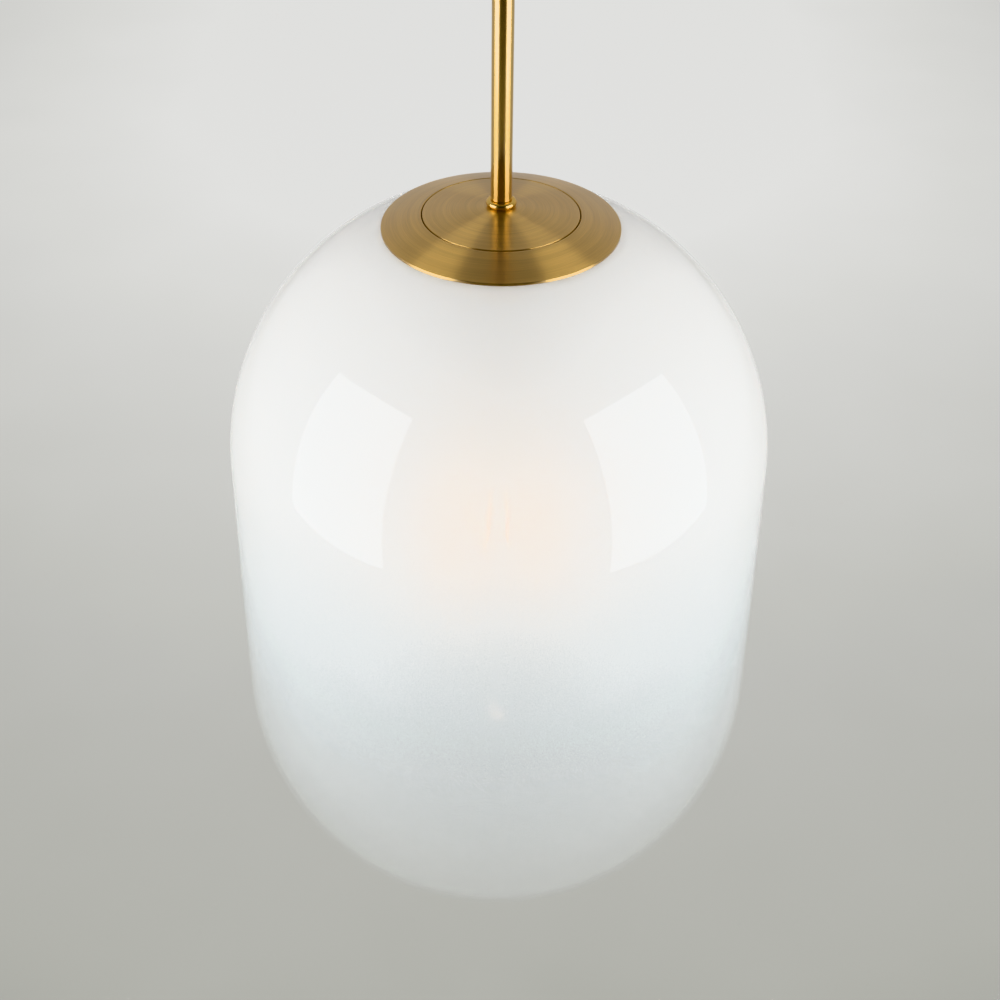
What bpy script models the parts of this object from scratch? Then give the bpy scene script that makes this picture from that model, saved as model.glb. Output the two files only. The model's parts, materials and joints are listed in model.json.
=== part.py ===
"""Pendant ceiling light: a capsule of opal glass under a two-piece brass cap, hung on a brass stem.

Metres, +Z up. The origin is the middle of the ceiling bracket's top face, which lies on the ceiling,
so that the whole lamp hangs below z = 0. The stem's axis is the Z axis, and the swivel's pin lies along X.
"""

import math

import bpy
from mathutils import Matrix, Vector

GAP = 0.0003  # left between pieces that touch
FINE, ROUND, SMALL = 32, 16, 12  # facets round a large, a middling and a small turned piece

# Ceiling bracket: a flat cross with slots for the outlet box's screws
BRACKET_THICK = 0.002
BRACKET_ARM = 0.050
BRACKET_HALF_WIDTH = 0.009
SLOT_NEAR, SLOT_FAR = 0.0324, 0.0470  # a screw stands 35 to 44.5 mm out in them, for both common boxes
SLOT_HALF_WIDTH = 0.0025
STUD_X = 0.040
STUD_RADIUS = 0.002
STUD_HOLE = STUD_RADIUS + GAP
LOCK_NUT_RADIUS, LOCK_NUT_HEIGHT = 0.0040, 0.0032
GROUND_SCREW_X, GROUND_SCREW_RADIUS = -0.021, 0.0016

# Canopy: a spun pan against the ceiling
CANOPY_RADIUS = 0.0635
CANOPY_DEPTH = 0.025
CANOPY_WALL = 0.0012
CANOPY_CORNER = 0.006
BALL_NUT_RADIUS, BALL_NUT_SEAT, BALL_NUT_NECK, BALL_NUT_BORE = 0.0055, 0.0034, 0.0012, 0.0068

# Hollow threaded pieces that join the stem's parts: M10 with a bore for the cable
NIPPLE_RADIUS, NIPPLE_BORE = 0.005, 0.0035
NIPPLE_HOLE = NIPPLE_RADIUS + GAP
NUT_RADIUS = 0.0081  # of the hexagon's corners
NUT_HEIGHT = 0.005
WASHER_RADIUS, WASHER_THICK = 0.0085, 0.001

# Swivel that lets the stem hang straight from a sloping ceiling
PIVOT_Z = -0.047
CHAMFER = 0.0008
YOKE_RADIUS = 0.011
YOKE_EAR_ROUND = 0.009
YOKE_SLOT_HALF = 0.0075
YOKE_SLOT_TOP = -0.037
SPIGOT_TOP = -0.015
YOKE_SHOULDER_Z = PIVOT_Z + 0.001
PIN_RADIUS, PIN_LENGTH = 0.002, 0.0066
KNUCKLE_HALF = 0.0072
KNUCKLE_ROUND = 0.0085
KNUCKLE_SLOT_HALF = 0.0042
KNUCKLE_NECK_HALF, KNUCKLE_NECK_TOP = 0.0065, PIVOT_Z - 0.006
COLLAR_RADIUS, COLLAR_TOP, COLLAR_BOTTOM = 0.008, -0.0575, -0.0675

# Stem: two lengths of brass tube, and a third one inside the glass
TUBE_RADIUS, TUBE_BORE = 0.00635, 0.00535
STEM_TOP = -0.0603
UPPER_STEM_LENGTH = 0.1524
LOWER_STEM_LENGTH = 0.3048
UPPER_STEM_END = STEM_TOP - UPPER_STEM_LENGTH
LOWER_STEM_TOP = UPPER_STEM_END - GAP
LOWER_STEM_END = LOWER_STEM_TOP - LOWER_STEM_LENGTH
COUPLING_HALF = 0.015
BEAD_RADIUS, BEAD_HEIGHT = 0.00905, 0.004
BEAD_TOP = LOWER_STEM_END - GAP

# Cap: an inner plate that the stem carries, and an outer ring that carries the glass
PLATE_TOP = BEAD_TOP - BEAD_HEIGHT - GAP
PLATE_LAND = 0.0095  # flat middle under the bead
PLATE_RADIUS = 0.0467
PLATE_DROP = 0.0051
PLATE_THICK = 0.002
SEAM_Z = PLATE_TOP - PLATE_DROP
SKIRT_RADIUS, SKIRT_WALL = 0.0466, 0.002
SKIRT_TOP, SKIRT_BOTTOM = SEAM_Z - 0.003, SEAM_Z - 0.0155
RING_RADIUS, RING_BORE = 0.0713, 0.0472
RING_DROP = 0.0077
RING_EDGE = 0.0015
RING_THICK = 0.0024  # at the collar
COLLAR_WALL = 0.0024
COLLAR_END = SEAM_Z - 0.0285
CROWN = 0.0003  # by which the cap's two slopes bulge

# Bayonet: three lugs inside the ring's collar, three L-shaped slots in the plate's skirt
BAYONETS = 3
LUG_RADIUS = 0.002
LUG_Z = SEAM_Z - 0.0105
LUG_TIP, LUG_END = 0.0441, RING_BORE + COLLAR_WALL / 2
BAYONET_TURN = math.radians(25)
BAYONET_SIDE = math.radians(3.2)  # from the lug's middle to the slot's closed end

# Glass: a capsule with a flat shoulder under the ring and a round neck hole
GLOBE_RADIUS = 0.1715
GLOBE_STRAIGHT = 0.176
GLOBE_WALL = 0.003
GLOBE_CENTRE = SEAM_Z - 0.2535
DOME_Z = GLOBE_CENTRE + GLOBE_STRAIGHT / 2
BOWL_Z = GLOBE_CENTRE - GLOBE_STRAIGHT / 2
NECK_RADIUS = 0.054
SHOULDER_OUT = 0.0695
SHOULDER_Z = SEAM_Z - 0.0094
LIP_THICK = 0.0036

# Clamps that hook under the glass, screwed to the collar from inside
CLAMPS = 3
CLAMP_THICK, CLAMP_WIDTH, CLAMP_REACH = 0.0012, 0.012, 0.0605
CLAMP_TOP = SHOULDER_Z - LIP_THICK - 2 * GAP
CLAMP_BOTTOM = COLLAR_END + 0.0008
CLAMP_SCREW_Z = (CLAMP_TOP + CLAMP_BOTTOM) / 2 - 0.0008
CLAMP_SCREW_RADIUS = 0.0015

# Lampholder at the end of the inner tube, in its brass cup
INNER_TUBE_TOP = PLATE_TOP - PLATE_THICK - WASHER_THICK - NUT_HEIGHT - 3 * GAP
LAMP_CONTACT = GLOBE_CENTRE + 0.108
CUP_TOP = LAMP_CONTACT + 0.0327
CUP_RADIUS, CUP_WALL, CUP_CORNER, CUP_BOTTOM = 0.020, 0.001, 0.003, LAMP_CONTACT - 0.0270
INNER_TUBE_END = CUP_TOP + GAP
DOME_TOP = CUP_TOP - CUP_WALL - GAP
HOLDER_RADIUS = 0.0183
DOME_NECK, DOME_SHOULDER = 0.0085, DOME_TOP - 0.0045
DOME_NECK_END = DOME_TOP - 0.008
DOME_END = DOME_TOP - 0.022
DOME_WALL = 0.0015
INSERT_RADIUS, INSERT_TOP, INSERT_BOTTOM = 0.0164, DOME_TOP - 0.0145, LAMP_CONTACT + 0.0014
HOLDER_BORE = 0.0143
SCREW_SHELL_IN, SCREW_SHELL_OUT = 0.01335, 0.0139
LEAF_HALF, LEAF_TIP_HALF, LEAF_REACH, LEAF_THICK = 0.0035, 0.0015, 0.009, 0.0008
TERMINAL_X, TERMINAL_HOLE = 0.010, 0.0016

# Bulb: a clear pear with four upright LED filaments, on a 26 mm screw cap
CAP_RADIUS, CAP_WALL, CAP_RIM_BORE, CAP_RIM = 0.0130, 0.0005, 0.0098, 0.0112
CAP_TOP, CAP_END = LAMP_CONTACT - 0.0048, LAMP_CONTACT - 0.0265
THREADS, THREAD_PITCH, THREAD_DEPTH = 5, 0.0036, 0.0008
BULB_RADIUS, BULB_CENTRE = 0.030, LAMP_CONTACT - 0.079
BULB_NECK_RADIUS, BULB_NECK_TOP = 0.0119, CAP_END + 0.006
BULB_WALL = 0.0008
FILAMENTS = 4
FILAMENT_RADIUS, FILAMENT_HALF_LENGTH = 0.0009, 0.019
FILAMENT_MIDDLE = LAMP_CONTACT - 0.072
FILAMENT_NEAR, FILAMENT_FAR = 0.0065, 0.0095  # from the axis, at the cap's end and at the bulb's end
SPIDER_THICK, SPIDER_HALF, SPIDER_HUB = 0.0007, 0.0004, 0.0031
PILLAR_RADIUS = 0.0016

# Cable: one sheathed lead down the middle, with its cores bared at both ends
CABLE_RADIUS, CORE_RADIUS = 0.0026, 0.0008
CABLE_TOP = -0.0105
PIVOT_CLEAR = 0.0042  # the cable's two lengths stop this far from the swivel's pin
CORE_NEAR_X, CORE_FAR_X = 0.0012, 0.006  # where a core leaves the sheath, and where it enters the block
GRIP_RADIUS, GRIP_HEIGHT = 0.0062, 0.0032
BLOCK_SIZE = (0.024, 0.013, 0.0125)
BLOCK_Y = 0.022
BLOCK_BEVEL, BLOCK_MOUTH, BLOCK_WELL, BLOCK_MOUTH_Z = 0.0008, 0.0016, 0.0018, 0.0065


# ---------------------------------------------------------------- scene and materials


def clear_scene():
    for obj in list(bpy.data.objects):
        bpy.data.objects.remove(obj)


def new_collection(name):
    collection = bpy.data.collections.new(name)
    bpy.context.scene.collection.children.link(collection)
    return collection


def material(name, colour, roughness, metallic=0.0, alpha=1.0, transmission=0.0):
    made = bpy.data.materials.new(name)
    made.use_nodes = True
    shader = made.node_tree.nodes["Principled BSDF"]
    shader.inputs["Base Color"].default_value = (*colour, 1.0)
    shader.inputs["Roughness"].default_value = roughness
    shader.inputs["Metallic"].default_value = metallic
    shader.inputs["Alpha"].default_value = alpha
    shader.inputs["Transmission Weight"].default_value = transmission
    return made


clear_scene()
PENDANT = new_collection("pendant_light")
CUTTERS = new_collection("cutters")

BRASS = material("brushed_brass", (0.60, 0.42, 0.17), 0.32, 1.0)
STEEL = material("zinc_steel", (0.62, 0.62, 0.60), 0.35, 1.0)
OPAL_GLASS = material("opal_glass", (0.90, 0.91, 0.90), 0.05, alpha=0.9)
CLEAR_GLASS = material("clear_glass", (0.97, 0.98, 0.98), 0.02, transmission=1.0)
SILICONE = material("silicone", (0.80, 0.80, 0.77), 0.6)
PHENOLIC = material("phenolic", (0.02, 0.02, 0.02), 0.4)
PORCELAIN = material("porcelain", (0.86, 0.85, 0.80), 0.2)
CONTACT = material("contact_brass", (0.70, 0.55, 0.28), 0.3, 1.0)
ALUMINIUM = material("aluminium", (0.75, 0.75, 0.74), 0.35, 1.0)
NYLON = material("nylon", (0.85, 0.85, 0.82), 0.5)
SHEATH = material("cable_sheath", (0.10, 0.10, 0.10), 0.5)
LIVE = material("live_core", (0.28, 0.12, 0.05), 0.45)
NEUTRAL = material("neutral_core", (0.05, 0.14, 0.45), 0.45)
EARTH = material("earth_core", (0.10, 0.40, 0.08), 0.45)
GREEN_STEEL = material("green_steel", (0.10, 0.40, 0.14), 0.35, 1.0)
PHOSPHOR = material("led_phosphor", (0.95, 0.72, 0.25), 0.5)


# ---------------------------------------------------------------- shapes


def add(name, data, collection=PENDANT):
    """An object of this mesh or curve, in the collection."""
    obj = bpy.data.objects.new(name, data)
    collection.objects.link(obj)
    if collection is CUTTERS:
        obj.hide_render = True
        obj.display_type = "WIRE"
    return obj


def painted(obj, finish):
    obj.data.materials.append(finish)
    return obj


def arc(x, z, radius, start, end, points):
    """Points on an arc about (x, z), from one angle to another in degrees, 0 being +X and 90 being +Z."""
    turns = [math.radians(start + (end - start) * i / (points - 1)) for i in range(points)]
    return [(x + radius * math.cos(t), z + radius * math.sin(t)) for t in turns]


def bulged(start, end, bulge, points=4):
    """Points from start to end on a shallow curve that stands this far above the straight line."""
    made = []
    for i in range(points):
        share = i / (points - 1)
        lift = 4 * bulge * share * (1 - share)
        made.append((start[0] + (end[0] - start[0]) * share, start[1] + (end[1] - start[1]) * share + lift))
    return made


def turned(name, profile, finish, steps=ROUND, collection=PENDANT):
    """A profile of (radius, z) turned about Z. It runs clockwise, so down its outer side, and is closed
    from its last point to its first, but for any stretch that would lie on the axis."""
    count = len(profile)
    sides = [(i, (i + 1) % count) for i in range(count)]
    edges = [(a, b) for a, b in sides if profile[a][0] > 0 or profile[b][0] > 0]
    mesh = bpy.data.meshes.new(name)
    mesh.from_pydata([(x, 0, z) for x, z in profile], edges, [])
    obj = add(name, mesh, collection)
    screw = obj.modifiers.new("turn", "SCREW")
    screw.axis = "Z"
    screw.steps = screw.render_steps = steps
    screw.use_merge_vertices = True
    screw.merge_threshold = 0.00001
    screw.use_smooth_shade = True
    return painted(obj, finish)


def tube(name, outer, bore, top, bottom, finish, steps=SMALL, collection=PENDANT):
    profile = [(bore, top), (outer, top), (outer, bottom), (bore, bottom)]
    return turned(name, profile, finish, steps, collection)


def rod(name, radius, top, bottom, finish, steps=SMALL, collection=PENDANT):
    return turned(name, [(0, top), (radius, top), (radius, bottom), (0, bottom)], finish, steps, collection)


def box(name, low, high, finish, collection=PENDANT):
    bpy.ops.mesh.primitive_cube_add(size=1)
    obj = bpy.context.object
    obj.name = obj.data.name = name
    for owner in obj.users_collection:
        owner.objects.unlink(obj)
    collection.objects.link(obj)
    low, high = Vector(low), Vector(high)
    obj.data.transform(Matrix.LocRotScale((low + high) / 2, None, high - low))
    if collection is CUTTERS:
        obj.hide_render = True
        obj.display_type = "WIRE"
    return painted(obj, finish)


def circle(x, y, radius, points):
    turns = [2 * math.pi * i / points for i in range(points)]
    return [(x + radius * math.cos(t), y + radius * math.sin(t)) for t in turns]


def sheet_metal(name, outlines, top, thickness, finish, collection=PENDANT):
    """A flat plate in the XY plane, with the first outline as its edge and the others as its holes."""
    curve = bpy.data.curves.new(name, "CURVE")
    curve.dimensions = "2D"
    curve.fill_mode = "BOTH"
    curve.extrude = thickness / 2
    for outline in outlines:
        spline = curve.splines.new("POLY")
        spline.points.add(len(outline) - 1)
        for point, (x, y) in zip(spline.points, outline):
            point.co = (x, y, 0, 1)
        spline.use_cyclic_u = True
    obj = add(name, curve, collection)
    obj.location.z = top - thickness / 2
    return as_mesh(obj, finish, collection)


def as_mesh(curve_obj, finish, collection):
    """The same object as a mesh, with its caps welded, so that it can be cut or joined."""
    bpy.context.view_layer.update()
    graph = bpy.context.evaluated_depsgraph_get()
    mesh = bpy.data.meshes.new_from_object(curve_obj.evaluated_get(graph))
    mesh.transform(curve_obj.matrix_world)
    name = curve_obj.name
    bpy.data.objects.remove(curve_obj)
    obj = add(name, mesh, collection)
    obj.name = name
    weld = obj.modifiers.new("weld", "WELD")
    weld.merge_threshold = 0.00001
    mesh.materials.clear()
    return painted(obj, finish)


def wire(name, route, radius, finish, sides=3):
    """A tube along a smooth curve through the route's points. sides is the bevel resolution."""
    curve = bpy.data.curves.new(name, "CURVE")
    curve.dimensions = "3D"
    curve.bevel_depth = radius
    curve.bevel_resolution = sides
    curve.use_fill_caps = True
    points = smooth(route)
    spline = curve.splines.new("POLY")
    spline.points.add(len(points) - 1)
    for point, place in zip(spline.points, points):
        point.co = (*place, 1)
    return painted(add(name, curve), finish)


def smooth(route, between=2):
    """Points on a Catmull-Rom curve through the route. One straight run is returned as it is."""
    route = [Vector(p) for p in route]
    if len(route) < 3:
        return route
    ends = [2 * route[0] - route[1], *route, 2 * route[-1] - route[-2]]
    made = []
    for a, b, c, d in zip(ends, ends[1:], ends[2:], ends[3:]):
        for i in range(between):
            t = i / between
            bend = (2 * a - 5 * b + 4 * c - d) * t**2 + (3 * b - a - 3 * c + d) * t**3
            made.append(0.5 * (2 * b + (c - a) * t + bend))
    return [*made, route[-1]]


def boolean(obj, operation, *others):
    for other in others:
        modifier = obj.modifiers.new(operation.lower(), "BOOLEAN")
        modifier.operation = operation
        modifier.object = other
        modifier.solver = "EXACT"
    return obj


def drill(obj, centre, axis, radius, length, sides=SMALL):
    """Cuts a round hole of this length through obj, its middle at centre, along axis."""
    cutter = rod(obj.name + "_drill", radius, length / 2, -length / 2, None, sides, CUTTERS)
    turn = Vector(axis).to_track_quat("Z", "Y").to_matrix().to_4x4()
    cutter.matrix_world = Matrix.Translation(centre) @ turn
    return boolean(obj, "DIFFERENCE", cutter)


def laid_along(obj, centre, axis):
    """Moves an object that was made about the origin, along Z, to centre, with its Z along axis."""
    obj.matrix_world = Matrix.Translation(centre) @ Vector(axis).to_track_quat("Z", "Y").to_matrix().to_4x4()
    return obj


def hex_nut(name, top, hole, radius=NUT_RADIUS, height=NUT_HEIGHT, centre=(0, 0)):
    outline = circle(*centre, radius, 6)
    return sheet_metal(name, [outline, circle(*centre, hole, 12)], top, height, STEEL)


def slotted_screw(name, head_radius, head_height, shank_radius, length, finish, slot_width=0.0007):
    """A cheese-head screw about Z, its head's underside at z = 0 and its shank going down."""
    chamfer = head_height * 0.25
    profile = [
        (0, head_height),
        (head_radius - chamfer, head_height),
        (head_radius, head_height - chamfer),
        (head_radius, 0),
        (shank_radius, 0),
        (shank_radius, -length),
        (0, -length),
    ]
    screw = turned(name, profile, finish, SMALL)
    reach, depth = head_radius + 0.001, head_height * 0.45
    slot = box(
        name + "_slot",
        (-reach, -slot_width / 2, head_height - depth),
        (reach, slot_width / 2, head_height + 0.001),
        None,
        CUTTERS,
    )
    slot.parent = screw
    return boolean(screw, "DIFFERENCE", slot)


# ---------------------------------------------------------------- ceiling bracket and canopy


def slot_outline(y_near, y_far, half_width, points=5):
    """A slot along Y with round ends."""
    made = []
    for start, y in ((0, y_far - half_width), (math.pi, y_near + half_width)):
        made += [(half_width * math.cos(t), y + half_width * math.sin(t)) for t in half_turn(start, points)]
    return made


def half_turn(start, points):
    return [start + math.pi * i / (points - 1) for i in range(points)]


def make_bracket():
    arm, half = BRACKET_ARM, BRACKET_HALF_WIDTH
    cross = []
    for quarter in range(4):
        c, s = round(math.cos(quarter * math.pi / 2)), round(math.sin(quarter * math.pi / 2))
        for x, y in ((arm, -half), (arm, half), (half, half)):
            cross.append((c * x - s * y, s * x + c * y))
    ends = ((SLOT_NEAR, SLOT_FAR), (-SLOT_FAR, -SLOT_NEAR))
    slots = [slot_outline(near, far, SLOT_HALF_WIDTH) for near, far in ends]
    studs = [circle(side * STUD_X, 0, STUD_HOLE, 12) for side in (-1, 1)]
    ground = circle(GROUND_SCREW_X, 0, GROUND_SCREW_RADIUS + GAP, 12)
    sheet_metal("ceiling_bracket", [cross, *slots, *studs, ground], 0, BRACKET_THICK, STEEL)


def make_canopy():
    wall, corner, floor = CANOPY_WALL, CANOPY_CORNER, -CANOPY_DEPTH
    centre_x, centre_z = CANOPY_RADIUS - corner, floor + corner
    outer = arc(centre_x, centre_z, corner, 0, -90, 5)
    inner = arc(centre_x, centre_z, corner - wall, -90, 0, 4)
    profile = [(CANOPY_RADIUS - wall, 0), (CANOPY_RADIUS, 0), *outer]
    profile += [(NIPPLE_HOLE, floor), (NIPPLE_HOLE, floor + wall), *inner]
    canopy = turned("canopy", profile, BRASS, FINE)
    for side in (-1, 1):
        drill(canopy, (side * STUD_X, 0, floor), (0, 0, 1), STUD_HOLE, 0.01)


def make_canopy_fixings():
    nut_top = -CANOPY_DEPTH - GAP
    bore_end, ball_z = nut_top - BALL_NUT_BORE, nut_top - BALL_NUT_RADIUS - 0.0001
    for side, hand in ((-1, "left"), (1, "right")):
        x = side * STUD_X
        stud = rod("canopy_stud_" + hand, STUD_RADIUS, -GAP, bore_end + GAP, STEEL, 12)
        stud.location.x = x
        under = -BRACKET_THICK - GAP
        hex_nut("stud_lock_nut_" + hand, under, STUD_HOLE, LOCK_NUT_RADIUS, LOCK_NUT_HEIGHT, (x, 0))
        profile = [(STUD_HOLE, nut_top), (BALL_NUT_SEAT, nut_top), (BALL_NUT_SEAT, nut_top - BALL_NUT_NECK)]
        profile += arc(0, ball_z, BALL_NUT_RADIUS, 53, -80, 6)
        profile += [(0, ball_z - BALL_NUT_RADIUS), (0, bore_end), (STUD_HOLE, bore_end)]
        nut = turned("canopy_ball_nut_" + hand, profile, BRASS, SMALL)
        nut.location.x = x


# ---------------------------------------------------------------- swivel


def side_plate(name, outline, half_thickness, finish, collection=PENDANT):
    """A plate across X, its outline given as (y, z) and its middle at x = 0."""
    obj = sheet_metal(name, [outline], half_thickness, 2 * half_thickness, finish, collection)
    # The outline's x and y become y and z, and its thickness lies along x.
    obj.data.transform(Matrix(((0, 0, 1, 0), (1, 0, 0, 0), (0, 1, 0, 0), (0, 0, 0, 1))))
    return obj


def make_yoke():
    """Spigot through the canopy and round body in one, cut below to two ears either side of the pin."""
    top, foot = -CANOPY_DEPTH - GAP, PIVOT_Z - 0.012
    profile = [(NIPPLE_BORE, SPIGOT_TOP), (NIPPLE_RADIUS, SPIGOT_TOP), (NIPPLE_RADIUS, top)]
    profile += [(YOKE_RADIUS - CHAMFER, top), (YOKE_RADIUS, top - CHAMFER)]
    profile += [(YOKE_RADIUS, foot), (NIPPLE_BORE, foot)]
    yoke = turned("swivel_yoke", profile, BRASS)
    ear = YOKE_EAR_ROUND
    below = [(ear * math.cos(t), PIVOT_Z + ear * math.sin(t)) for t in half_turn(math.pi, 11)]
    wide, above = YOKE_RADIUS + 0.001, SPIGOT_TOP + 0.001
    outline = [*below, (wide, YOKE_SHOULDER_Z), (wide, above), (-wide, above), (-wide, YOKE_SHOULDER_Z)]
    boolean(yoke, "INTERSECT", side_plate("yoke_outline", outline, wide, None, CUTTERS))
    low, high = (-YOKE_SLOT_HALF, -0.02, foot - 0.001), (YOKE_SLOT_HALF, 0.02, YOKE_SLOT_TOP)
    boolean(yoke, "DIFFERENCE", box("yoke_slot", low, high, None, CUTTERS))
    drill(yoke, (0, 0, PIVOT_Z), (1, 0, 0), PIN_RADIUS + GAP, 0.04)


def make_knuckle():
    """Two inner ears about the pin, above the collar that takes the stem."""
    ear = [(KNUCKLE_ROUND * math.cos(t), PIVOT_Z + KNUCKLE_ROUND * math.sin(t)) for t in half_turn(-0.6, 13)]
    ear = [p for p in ear if p[1] > PIVOT_Z - 0.005]
    neck, top, foot = KNUCKLE_NECK_HALF, KNUCKLE_NECK_TOP, COLLAR_TOP - 0.001
    outline = [*ear, (-neck, top), (-neck, foot), (neck, foot), (neck, top)]
    knuckle = side_plate("stem_knuckle", outline, KNUCKLE_HALF, BRASS)
    low, high = (-KNUCKLE_SLOT_HALF, -0.02, COLLAR_TOP + GAP), (KNUCKLE_SLOT_HALF, 0.02, PIVOT_Z + 0.02)
    boolean(knuckle, "DIFFERENCE", box("knuckle_slot", low, high, None, CUTTERS))
    rim, round_to = COLLAR_BOTTOM, COLLAR_RADIUS - CHAMFER
    collar = [(0, COLLAR_TOP), (round_to, COLLAR_TOP), (COLLAR_RADIUS, COLLAR_TOP - CHAMFER)]
    collar += [(COLLAR_RADIUS, rim + CHAMFER), (round_to, rim), (0, rim)]
    boolean(knuckle, "UNION", turned("knuckle_collar", collar, None, ROUND, CUTTERS))
    fit = TUBE_RADIUS + GAP
    socket = rod("knuckle_socket", fit, STEM_TOP + GAP, COLLAR_BOTTOM - 0.01, None, ROUND, CUTTERS)
    boolean(knuckle, "DIFFERENCE", socket)
    drill(knuckle, (0, 0, COLLAR_TOP), (0, 0, 1), NIPPLE_BORE, 0.02)
    drill(knuckle, (0, 0, PIVOT_Z), (1, 0, 0), PIN_RADIUS + GAP, 0.04)


def make_swivel():
    make_yoke()
    make_knuckle()
    floor = -CANOPY_DEPTH + CANOPY_WALL + GAP
    tube("swivel_washer", WASHER_RADIUS, NIPPLE_HOLE, floor + WASHER_THICK, floor, STEEL)
    hex_nut("swivel_nut", floor + WASHER_THICK + NUT_HEIGHT + GAP, NIPPLE_HOLE)
    for side, hand in ((-1, "left"), (1, "right")):
        screw = slotted_screw("pivot_screw_" + hand, 0.0034, 0.0016, PIN_RADIUS, PIN_LENGTH, BRASS)
        laid_along(screw, (side * (YOKE_RADIUS + GAP), 0, PIVOT_Z), (side, 0, 0))


# ---------------------------------------------------------------- stem and cap


def make_stem():
    tube("upper_stem", TUBE_RADIUS, TUBE_BORE, STEM_TOP, UPPER_STEM_END, BRASS, ROUND)
    tube("lower_stem", TUBE_RADIUS, TUBE_BORE, LOWER_STEM_TOP, LOWER_STEM_END, BRASS, ROUND)
    joint = (UPPER_STEM_END + LOWER_STEM_TOP) / 2
    tube("stem_coupling", NIPPLE_RADIUS, NIPPLE_BORE, joint + COUPLING_HALF, joint - COUPLING_HALF, STEEL)
    tube("cap_nipple", NIPPLE_RADIUS, NIPPLE_BORE, LOWER_STEM_END + 0.020, INNER_TUBE_TOP - 0.012, STEEL)
    tube("inner_tube", TUBE_RADIUS, TUBE_BORE, INNER_TUBE_TOP, INNER_TUBE_END, STEEL)
    tube("holder_nipple", NIPPLE_RADIUS, NIPPLE_BORE, INNER_TUBE_END + 0.012, DOME_NECK_END + GAP, STEEL)
    half = BEAD_HEIGHT / 2
    bead = [(NIPPLE_HOLE, BEAD_TOP), *arc(BEAD_RADIUS - half, BEAD_TOP - half, half, 90, -90, 7)]
    turned("stem_bead", [*bead, (NIPPLE_HOLE, BEAD_TOP - BEAD_HEIGHT)], BRASS)


def sector(radius_in, radius_out, start, end, points=4):
    """The outline of part of a ring, between two angles in radians."""
    turns = [start + (end - start) * i / (points - 1) for i in range(points)]
    outer = [(radius_out * math.cos(t), radius_out * math.sin(t)) for t in turns]
    inner = [(radius_in * math.cos(t), radius_in * math.sin(t)) for t in reversed(turns)]
    return outer + inner


def make_socket_plate():
    """The cap's middle: a shallow cone with a skirt, which has the bayonet's L-shaped slots."""
    edge = 0.0005
    under = PLATE_TOP - PLATE_THICK
    skirt_in = SKIRT_RADIUS - SKIRT_WALL
    profile = [(NIPPLE_HOLE, PLATE_TOP)]
    profile += bulged((PLATE_LAND, PLATE_TOP), (PLATE_RADIUS - edge, SEAM_Z + edge / 4), CROWN)
    profile += [(PLATE_RADIUS, SEAM_Z - edge), (SKIRT_RADIUS, SEAM_Z - 2 * edge)]
    profile += [(SKIRT_RADIUS, SKIRT_BOTTOM), (skirt_in, SKIRT_BOTTOM), (skirt_in, SKIRT_TOP)]
    profile += [(PLATE_LAND + 0.001, under), (NIPPLE_HOLE, under)]
    plate = turned("socket_plate", profile, BRASS, FINE)
    half_height = LUG_RADIUS + GAP
    slot_in, slot_out = skirt_in - 0.001, SKIRT_RADIUS + 0.001
    for i in range(BAYONETS):
        at = 2 * math.pi * i / BAYONETS
        far = at + BAYONET_TURN + BAYONET_SIDE
        across = sector(slot_in, slot_out, at - BAYONET_SIDE, far)
        down = sector(slot_in, slot_out, far - 2 * BAYONET_SIDE, far)
        top = LUG_Z + half_height
        runs = [sheet_metal(f"bayonet_run_{i}", [across], top, 2 * half_height, None, CUTTERS)]
        runs.append(sheet_metal(f"bayonet_mouth_{i}", [down], top - half_height, 0.02, None, CUTTERS))
        boolean(plate, "DIFFERENCE", *runs)


def make_fitter_ring():
    """The cap's outer ring, which follows the glass, and its collar down through the neck."""
    edge = 0.0004
    rim_top = SEAM_Z - RING_DROP
    collar_out = RING_BORE + COLLAR_WALL
    profile = [(RING_BORE, SEAM_Z - edge)]
    profile += bulged((RING_BORE + edge, SEAM_Z - edge / 4), (RING_RADIUS - edge, rim_top + edge / 3), CROWN)
    profile += [(RING_RADIUS, rim_top - edge / 2), (RING_RADIUS, rim_top - RING_EDGE)]
    profile += [(collar_out, SEAM_Z - RING_THICK), (collar_out, COLLAR_END), (RING_BORE, COLLAR_END)]
    ring = turned("fitter_ring", profile, BRASS, FINE)
    for i in range(BAYONETS):
        length = LUG_END - LUG_TIP
        lug = rod(f"bayonet_lug_{i}", LUG_RADIUS, length / 2, -length / 2, None, SMALL, CUTTERS)
        laid_along(lug, *spoke(i, BAYONETS, LUG_Z, (LUG_TIP + LUG_END) / 2))
        boolean(ring, "UNION", lug)
    for i in range(CLAMPS):
        drill(ring, *spoke(i + 0.5, CLAMPS, CLAMP_SCREW_Z), CLAMP_SCREW_RADIUS + GAP, 0.02)


def spoke(number, count, z, radius=RING_BORE):
    """The place and the outward direction of one of several pieces spaced evenly round the axis."""
    turn = 2 * math.pi * number / count
    outward = Vector((math.cos(turn), math.sin(turn), 0))
    return outward * radius + Vector((0, 0, z)), outward


def make_cap_fixings():
    top = PLATE_TOP - PLATE_THICK - GAP
    tube("cap_washer", WASHER_RADIUS, NIPPLE_HOLE, top, top - WASHER_THICK, STEEL)
    hex_nut("cap_nut", top - WASHER_THICK - GAP, NIPPLE_HOLE)


# ---------------------------------------------------------------- glass and what holds it


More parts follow.
